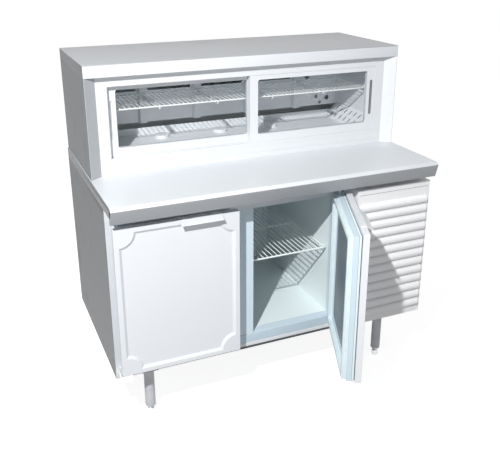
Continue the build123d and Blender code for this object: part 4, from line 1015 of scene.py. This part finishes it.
@dataclass
class LouvreCover(SubAssembly):
    """Louvred cover of the machine compartment, with its seam and screws.

    Attributes:
        edge: Radius of the sheet's edges.
        rise: How far the louvres stand out of the sheet.
        seam_drop: Distance of the seam from the cover's top.
        seam_t: Width of the seam.
        seam_in: How far the seam reaches into the sheet.
        seam_out: How far it stands out.
        screw_inset: Distance of the screws from the corners.
    """

    edge: float = 0.5 * MM
    rise: float = 12.0 * MM
    seam_drop: float = 21.4 * MM
    seam_t: float = 1.0 * MM
    seam_in: float = 0.2 * MM
    seam_out: float = 0.3 * MM
    screw_inset: float = 8.0 * MM

    def build(self) -> None:
        """Dress the cover, the machine base and the rear grille, and add the cover's screws and seam."""
        self.dress("louvre_panel", Coat.LOUVRE)
        self.dress("machine_base", Coat.FRONT, self.edge)
        self.dress("rear_grille", Coat.SIDE)
        low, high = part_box("louvre_panel")
        face = low.y + self.rise
        inset = self.screw_inset
        flat = Screw(radius=3.4 * MM, height=1.2 * MM, arm=1.7 * MM, slot=0.4 * MM, depth=0.8 * MM)
        places = [((x, face, z), (0, -1, 0)) for x in (low.x + inset, high.x - inset)
                  for z in (low.z + inset, high.z - inset)]
        self.add_screws("louvre_cover_screws", places, flat)
        z1 = high.z - self.seam_drop
        z0 = z1 - self.seam_t
        inner, outer = face + self.seam_in, face - self.seam_out
        corners = [(inner, z0), (outer, z0), (outer, z1), (inner, z1)]
        seam = prism_along_x("louvre_cover_seam", corners, [0.0] * 4, (low.x + inset, high.x - inset))
        self.add("louvre_cover_seam", seam, Coat.SEAM, "black_rubber")


@dataclass
class CabinetDoor(SubAssembly):
    """One insulated door: outer pan, inner pan with its pressed field, seal and handle.

    Attributes:
        edge: Radius of the pans' edges.
        seal_place: Distances of the seal from the door's sides, foot and top.
        seal_w: Width of the seal.
        seal_folds: Places across the seal's width and heights of its folds, as shares.
        field_place: Distances of the pressed field from the door's sides, foot and top.
        field_setback: Distance of the field from the door's face.
        field_steps: Distances in from the field's rim and rises over its foot, in millimetres.
        skin_t: Depth of the outer pan.
        neck_t: Depth of the neck between the pans.
        neck_step: How far the neck stands back behind the inner pan's sides.
        pan_place: Distances of the inner pan from the door's sides, foot and top.
        rim_w: Depth of the pale rim behind the neck.
        groove_w: Depth of the groove behind the rim.
        gap: Clearance between the solids and what is laid on them.
        left_x: The closed door's left side.
        width: Width of the door.
        hinge: X and Y of the hinge of a door that rests open, or None for one that rests closed.
        hinge_turn: How far the door stands open at rest, in degrees.
        handle_inset: Distance of the handle's plate from the hinge's or the far side.
        handle_span: Length of the plate.
        plate_rise: Height of the plate over the door's top.
        plate_y: Distance from the door's face to the plate's screws.
    """

    edge: float = 1.0 * MM
    seal_place: Triple = (17.0 * MM, 4.0 * MM, 17.0 * MM)
    seal_w: float = 18.0 * MM
    seal_folds: tuple[Point, ...] = (
        (0.0, 0.0), (0.02, 0.35), (0.1, 0.42), (0.14, 0.6), (0.06, 0.75), (0.1, 0.96), (0.24, 1.0),
        (0.76, 1.0), (0.9, 0.96), (0.94, 0.75), (0.86, 0.6), (0.9, 0.42), (0.98, 0.35), (1.0, 0.0),
    )
    field_place: Triple = (42.2 * MM, 37.2 * MM, 46.2 * MM)
    field_setback: float = 47.0 * MM
    field_steps: tuple[Point, ...] = (
        (0.0, 0.0), (0.6, 0.9), (9.0, 1.2), (11.0, 0.6), (15.0, 0.6), (17.5, 2.2),
    )
    skin_t: float = 23.0 * MM
    neck_t: float = 3.0 * MM
    neck_step: float = 5.9 * MM
    pan_place: Triple = (8.0 * MM, 3.0 * MM, 12.0 * MM)
    rim_w: float = 7.0 * MM
    groove_w: float = 1.8 * MM
    gap: float = 0.05 * MM
    left_x: float = -638.7 * MM
    width: float = 459.0 * MM
    hinge: Optional[Point] = None
    hinge_turn: float = 0.0
    handle_inset: float = 67.8 * MM
    handle_span: float = 156.3 * MM
    plate_rise: float = 1.6 * MM
    plate_y: float = 12.0 * MM

    def build(self) -> None:
        """Dress the door's nodes and add its field, collars, seal and screws."""
        if self.hinge:
            pivot = Matrix.Translation((self.hinge[0], self.hinge[1], 0.0))
            self.placement = pivot @ Matrix.Rotation(math.radians(self.hinge_turn), 4, "Z") @ pivot.inverted()
        self.dress(f"{self.body}_skin", Coat.FRONT, self.edge)
        self.dress(f"{self.body}_liner", Coat.DOOR_PAN, self.edge)
        self.dress(f"{self.body}_handle", Coat.HANDLE)
        self._inner_field()
        self._collars()
        self._seal()
        self._handle_screws()

    def _within(self, place: Triple) -> Box:
        """A rectangle inside the closed door, which stands as the left one does at rest.

        Args:
            place: Its distances from the door's sides, foot and top.

        Returns:
            Left, right, lower and upper side.
        """
        low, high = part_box("door_left_skin")
        side, foot, head = place
        return self.left_x + side, self.left_x + self.width - side, low.z + foot, high.z - head

    def _inner_field(self) -> None:
        """Pressed panel in the recess of the inner pan."""
        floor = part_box("door_left_skin")[0].y + self.field_setback
        box = self._within(self.field_place)
        profile = [(inset * MM, floor + rise * MM) for inset, rise in self.field_steps]
        name = f"{self.body}_field"
        mesh = run_round(name, box, profile, Corners(3 * MM, 0.4), ring=False)
        # The field's dark finish is painted shade on the open door's inner face.
        self.add(name, mesh, Coat.DOOR_FIELD, "door_liner")

    def _collars(self) -> None:
        """Dark seam round the neck, pale rim round the foot of the inner pan and the groove beside it."""
        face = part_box("door_left_skin")[0].y
        neck = face + self.skin_t + self.gap
        rim = neck + self.neck_t + self.gap
        box = self._within(self.pan_place)
        # name, Y, depth, distance in from the pan's sides, thickness, finish and slot
        collars = (
            ("seam", neck, self.neck_t - 2 * self.gap, self.neck_step, 3.5 * MM, Coat.SEAM, "black_rubber"),
            ("rim", rim, self.rim_w, -self.gap, 0.6 * MM, Coat.GASKET, "door_liner"),
            ("groove", rim + self.rim_w, self.groove_w, -self.gap, 0.3 * MM, Coat.GROOVE, "door_liner"),
        )
        for part, y, depth, step, out, coat, slot in collars:
            profile = [(step, y), (step - out, y), (step - out, y + depth), (step, y + depth)]
            name = f"{self.body}_{part}"
            self.add(name, run_round(name, box, profile, Corners(steps=1), ring=True), coat, slot)

    def _seal(self) -> None:
        """Bellows seal round the inner pan, in place of the plain ring."""
        front, back = (corner.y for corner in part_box("door_left_gasket"))
        box = self._within(self.seal_place)
        profile = [(across * self.seal_w, front + rise * (back - front)) for across, rise in self.seal_folds]
        name = f"{self.body}_seal"
        mesh = run_round(name, box, profile, Corners(steps=1), ring=True)
        self.add(name, mesh, Coat.GASKET, "gasket", (f"{self.body}_gasket",))

    def _handle_screws(self) -> None:
        """Two screws through the handle's plate."""
        low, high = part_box("door_left_skin")
        inset = self.handle_inset if self.hinge else self.width - self.handle_inset - self.handle_span
        x, y, z = self.left_x + inset, low.y + self.plate_y, high.z + self.plate_rise
        places = [((x + share * self.handle_span, y, z), (0, 0, 1)) for share in (0.12, 0.88)]
        self.add_screws(f"{self.body}_handle_screws", places, Screw(radius=3.4 * MM, height=1.4 * MM))


@dataclass
class Legs(SubAssembly):
    """Tube legs, their plates' screws and the four levelling feet.

    Attributes:
        plate_inset: Distance of a screw from the plate's edges.
        half_plate: Half width of a plate.
        plate_t: Thickness of a plate.
    """

    plate_inset: float = 8.0 * MM
    half_plate: float = 33.0 * MM
    plate_t: float = 4.0 * MM

    def build(self) -> None:
        """Dress the legs and feet, and add the screws under the plates."""
        self.dress("legs", Coat.STEEL)
        places = []
        reach = self.half_plate - self.plate_inset
        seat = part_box("legs")[1].z - self.plate_t
        for name in ("foot_front_left", "foot_front_right", "foot_rear_left", "foot_rear_right"):
            self.dress(name, Coat.BRIGHT)
            low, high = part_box(name)
            middle = (low + high) / 2
            places += [((middle.x + sx * reach, middle.y + sy * reach, seat), (0, 0, -1))
                       for sx in (-1, 1) for sy in (-1, 1)]
        self.add_screws("leg_plate_screws", places, Screw(radius=4.6 * MM))


@dataclass
class WireShelves(SubAssembly):
    """The wire shelves, their clips and brackets."""

    def build(self) -> None:
        """Dress the shelves, their clips and their brackets."""
        for name in ("wire_shelf_left", "wire_shelf_centre", "display_shelf"):
            self.dress(name, Coat.WIRE)
        for name in ("shelf_supports", "shelf_brackets"):
            self.dress(name, Coat.FRAME)


@dataclass
class DisplayCase(SubAssembly):
    """Shell, frame and inside of the display case.

    Attributes:
        edge: Radius of the shell's edges.
        rail_edge: Radius of the frame's edges.
        cap_t: Thickness of the roof's capping sheet.
        cap_out: How far the sheet stands out in front of the roof.
        slab_end: Radius of the end edges of the roof.
        cap_end: Radius of the end edges of the sheet.
    """

    edge: float = 1.2 * MM
    rail_edge: float = 0.6 * MM
    cap_t: float = 1.2 * MM
    cap_out: float = 0.4 * MM
    slab_end: float = 0.5 * MM
    cap_end: float = 0.3 * MM

    def build(self) -> None:
        """Dress the case's nodes and make the roof."""
        # The left case side wears a darker copy of the sheet as painted shade.
        for name, coat in (("case_side_left", Coat.CASE_LEFT), ("case_side_right", Coat.CASE_SIDE)):
            self.dress(name, coat, self.edge)
        self._roof()
        self.dress("case_back", Coat.FRONT, self.edge)
        for name in ("case_frame_rails", "case_frame_stiles", "door_tracks"):
            self.dress(name, Coat.FRAME, self.rail_edge)
        for name in ("case_floor", "duct_panel", "duct_posts", "return_cover"):
            self.dress(name, Coat.DISPLAY)

    def _roof(self) -> None:
        """Roof slab with its fascia, and the capping sheet folded over its top."""
        low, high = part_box("case_roof")
        face, seam = low.y + self.cap_out, high.z - self.cap_t
        lap = high.z - 2 * self.cap_t
        slab = [(face, seam), (face, low.z), (high.y, low.z), (high.y, seam)]
        sheet = [(low.y, high.z), (low.y, lap), (face, lap), (face, seam), (high.y, seam), (high.y, high.z)]
        # The roof slab's ends take the case side sheet's dark grey painted shade.
        # name, corners and their radii, radius of the end edges, and finish
        parts = (
            ("roof_slab", slab, [0.0, self.edge, 0.0, 0.0], self.slab_end, Coat.CASE_SIDE),
            ("roof_sheet", sheet, [self.cap_t, 0.0, 0.0, 0.0, 0.0, 0.4 * MM], self.cap_end, Coat.ROOF),
        )
        for name, corners, radii, end, coat in parts:
            mesh = prism_along_x(name, corners, radii, (low.x, high.x), end)
            self.add(name, mesh, coat, "panel", ("case_roof",))


@dataclass
class SlidingDoor(SubAssembly):
    """One sliding glass door with its frame, beads and recessed pull.

    Attributes:
        edge: Radius of the frame's edges.
        bead_w: Width of the glazing bead.
        bead_t: Height of the glazing bead.
        corner: Radius of the pane's corners.
        pull_coat: Finish of the recessed pull's lining.
        pull_w: Width of the pull.
        pull_h: Height of the pull.
        pull_depth: Depth of the recess.
        pull_gap: Distance of the pull from the frame's outer side.
        pull_z: Height of the pull's middle.
        gap: Clearance between the recess and its lining.
    """

    edge: float = 0.8 * MM
    bead_w: float = 2.2 * MM
    bead_t: float = 1.4 * MM
    corner: float = 9.0 * MM
    pull_coat: Coat = Coat.FRAME
    pull_w: float = 12.2 * MM
    pull_h: float = 146.0 * MM
    pull_depth: float = 6.0 * MM
    pull_gap: float = 10.0 * MM
    pull_z: float = 1131.0 * MM
    gap: float = 0.1 * MM

    def build(self) -> None:
        """Dress the door, and add its glazing beads and its pull."""
        self.dress(f"{self.body}_frame", Coat.FRAME, self.edge)
        self.dress(f"{self.body}_pane", Coat.GLASS)
        low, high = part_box(f"{self.body}_pane")
        box = low.x, high.x, low.z, high.z
        for side, y, out in (("front", low.y, -self.bead_t), ("rear", high.y, self.bead_t)):
            profile = [(across * self.bead_w, y + rise * out)
                       for across, rise in ((0.0, 0.0), (0.0, 1.0), (0.6, 0.9), (1.0, 0.0))]
            name = f"{self.body}_bead_{side}"
            mesh = run_round(name, box, profile, Corners(self.corner, -1.0), ring=True)
            self.add(name, mesh, Coat.BEAD, "gasket")
        self._pull()

    def _pull(self) -> None:
        """Lining of the recessed pull in the outer stile."""
        low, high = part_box(f"{self.body}_frame")
        left = "left" in self.body
        x0 = (low.x + self.pull_gap if left else high.x - self.pull_gap - self.pull_w) + self.gap
        z0 = self.pull_z - self.pull_h / 2 + self.gap
        box = x0, x0 + self.pull_w - 2 * self.gap, z0, z0 + self.pull_h - 2 * self.gap
        floor = low.y + self.pull_depth
        lip, wall = low.y + 0.2 * MM, 0.6 * MM
        profile = [(0.0, lip), (wall, lip), (wall, floor - 2 * wall), (wall + 1 * MM, floor - wall)]
        name = f"{self.body}_pull"
        mesh = run_round(name, box, profile, Corners(self.pull_w * 0.45, -0.5), ring=False)
        self.add(name, mesh, self.pull_coat, "frame_plastic")


@dataclass
class Machine(SubAssembly):
    """Compressor, coils, fans and pipes, which keep the frame's shapes."""

    def build(self) -> None:
        """Dress every node by its own slot, before the others dress theirs."""
        for node in self.nodes.values():
            for slot in node.material_slots:
                known = slot.material.name.split(".")[0] if slot.material else ""
                if known in SLOT_COATS:
                    slot.material = SLOT_COATS[known].material()
        LOG.info("dressed the nodes by their slots")


@dataclass
class Studio:
    """Camera, lamps, floor and background.

    Attributes:
        eye: Where the camera stands.
        pitch: How far it looks down, in radians.
        yaw: How far it is turned to the right, in radians.
        focal_px: Its focal length in pixels of the picture.
        middle: The pixel that it looks at.
        size: The picture's size in pixels.
        key_place: Where the key lamp stands.
        key_power: Its power in watts.
        key_size: Its width in metres.
        fill_place: Where the soft fill lamp stands.
        fill_power: Its power in watts.
        fill_size: Its width in metres.
        aim: What both lamps look at.
        ambient: Brightness of the surroundings.
        sensor_mm: Width of the camera's sensor.
        clip: Nearest and farthest distance that the camera sees, in metres.
        floor_r: Radius of the floor, in metres.
        floor_tone: Brightness of the floor to the eye.
        floor_glow: Its own light to the eye.
        floor_bounce: Its brightness to the light.
    """

    eye: Triple = (-1.05959, -2.53570, 1.73683)
    pitch: float = 0.352495
    yaw: float = 0.409406
    focal_px: float = 689.19
    middle: Point = (250.0, 197.03)
    size: tuple[int, int] = (500, 449)
    key_place: Triple = (-1.62, -2.25, 2.85)
    key_power: float = 114.0
    key_size: float = 0.07
    fill_place: Triple = (0.2, -3.3, 0.9)
    fill_power: float = 8.0
    fill_size: float = 1.4
    aim: Triple = (0.0, 0.0, 0.75)
    ambient: float = 0.31
    sensor_mm: float = 36.0
    clip: Point = (0.05, 60.0)
    floor_r: float = 14.0
    floor_tone: float = 0.6
    floor_glow: float = 0.82
    floor_bounce: float = 0.3

    def build(self) -> None:
        """Set up the camera, the light and the floor."""
        self._camera()
        self._lamp("key", self.key_place, self.key_power, self.key_size)
        self._lamp("fill", self.fill_place, self.fill_power, self.fill_size)
        self._world()
        self._floor()

    def _camera(self) -> None:
        """The camera of the photograph."""
        data = bpy.data.cameras.new("camera")
        width, height = self.size
        data.sensor_width = self.sensor_mm
        data.lens = self.focal_px * data.sensor_width / width
        data.shift_x = (width / 2 - self.middle[0]) / width
        data.shift_y = (self.middle[1] - height / 2) / width
        data.clip_start, data.clip_end = self.clip
        camera = bpy.data.objects.new("camera", data)
        camera.location = self.eye
        camera.rotation_euler = (math.pi / 2 - self.pitch, 0.0, -self.yaw)
        bpy.context.scene.collection.objects.link(camera)
        bpy.context.scene.camera = camera

    def _lamp(self, name: str, place: Triple, power: float, size: float) -> None:
        """One round lamp that looks at the middle of the object.

        Args:
            name: The lamp's name.
            place: Where it stands.
            power: Its power in watts.
            size: Its width in metres.
        """
        data = bpy.data.lights.new(name, "AREA")
        data.shape = "DISK"
        data.size = size
        data.energy = power
        lamp = bpy.data.objects.new(name, data)
        aim = Vector(self.aim) - Vector(place)
        lamp.location = place
        lamp.rotation_euler = aim.to_track_quat("-Z", "Y").to_euler()
        bpy.context.scene.collection.objects.link(lamp)

    def _world(self) -> None:
        """White to the eye and in reflections, and a plain level of light from all round."""
        shader = Shader("studio", world=True)
        strength = self.ambient + shader.seen_directly() * (1.0 - self.ambient)
        inputs = {"Color": grey(1.0), "Strength": strength}
        bpy.context.scene.world = shader.finish(shader.node("ShaderNodeBackground", None, inputs))
        bpy.context.scene.view_settings.view_transform = "Standard"

    def _floor(self) -> None:
        """Pale floor that keeps the object's shadow."""
        bm = bmesh.new()
        bmesh.ops.create_circle(bm, cap_ends=True, segments=64, radius=self.floor_r)
        mesh = mesh_from("floor", bm)
        floor = bpy.data.objects.new("floor", mesh)
        bpy.context.scene.collection.objects.link(floor)
        shader = Shader("pale_floor")
        shaded, bounce = (shader.node("ShaderNodeBsdfDiffuse", None, {"Color": grey(tone)})
                          for tone in (self.floor_tone, self.floor_bounce))
        glow = shader.node("ShaderNodeEmission", None, {"Color": grey(1.0), "Strength": self.floor_glow})
        seen = shader.node("ShaderNodeAddShader", None, {"Shader": shaded, "Shader_001": glow})
        inputs = {"Fac": shader.seen_directly(), "Shader": bounce, "Shader_001": seen}
        mesh.materials.append(shader.finish(shader.node("ShaderNodeMixShader", None, inputs)))


def main() -> None:
    """Build the looks over the frame, one sub-assembly after the other."""
    logging.basicConfig(level=logging.INFO, format="%(name)s: %(message)s")
    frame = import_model()
    nodes = frame["nodes"]
    assemblies = (
        Machine(nodes),
        CabinetShell(nodes),
        Worktop(nodes),
        LouvreCover(nodes),
        CabinetDoor(nodes, "door_left"),
        CabinetDoor(nodes, "door_centre", left_x=-171.8 * MM, hinge=(259.0 * MM, -373.8 * MM),
                    hinge_turn=67.2),
        Legs(nodes),
        WireShelves(nodes),
        DisplayCase(nodes),
        SlidingDoor(nodes, "glass_door_left"),
        # The right pull's dark lining is painted shade in its recess.
        SlidingDoor(nodes, "glass_door_right", pull_coat=Coat.PULL),
    )
    for assembly in assemblies:
        assembly.build()
        LOG.info("built %s of %s", type(assembly).__name__, assembly.body)
    Studio().build()


if __name__ == "__main__":
    main()
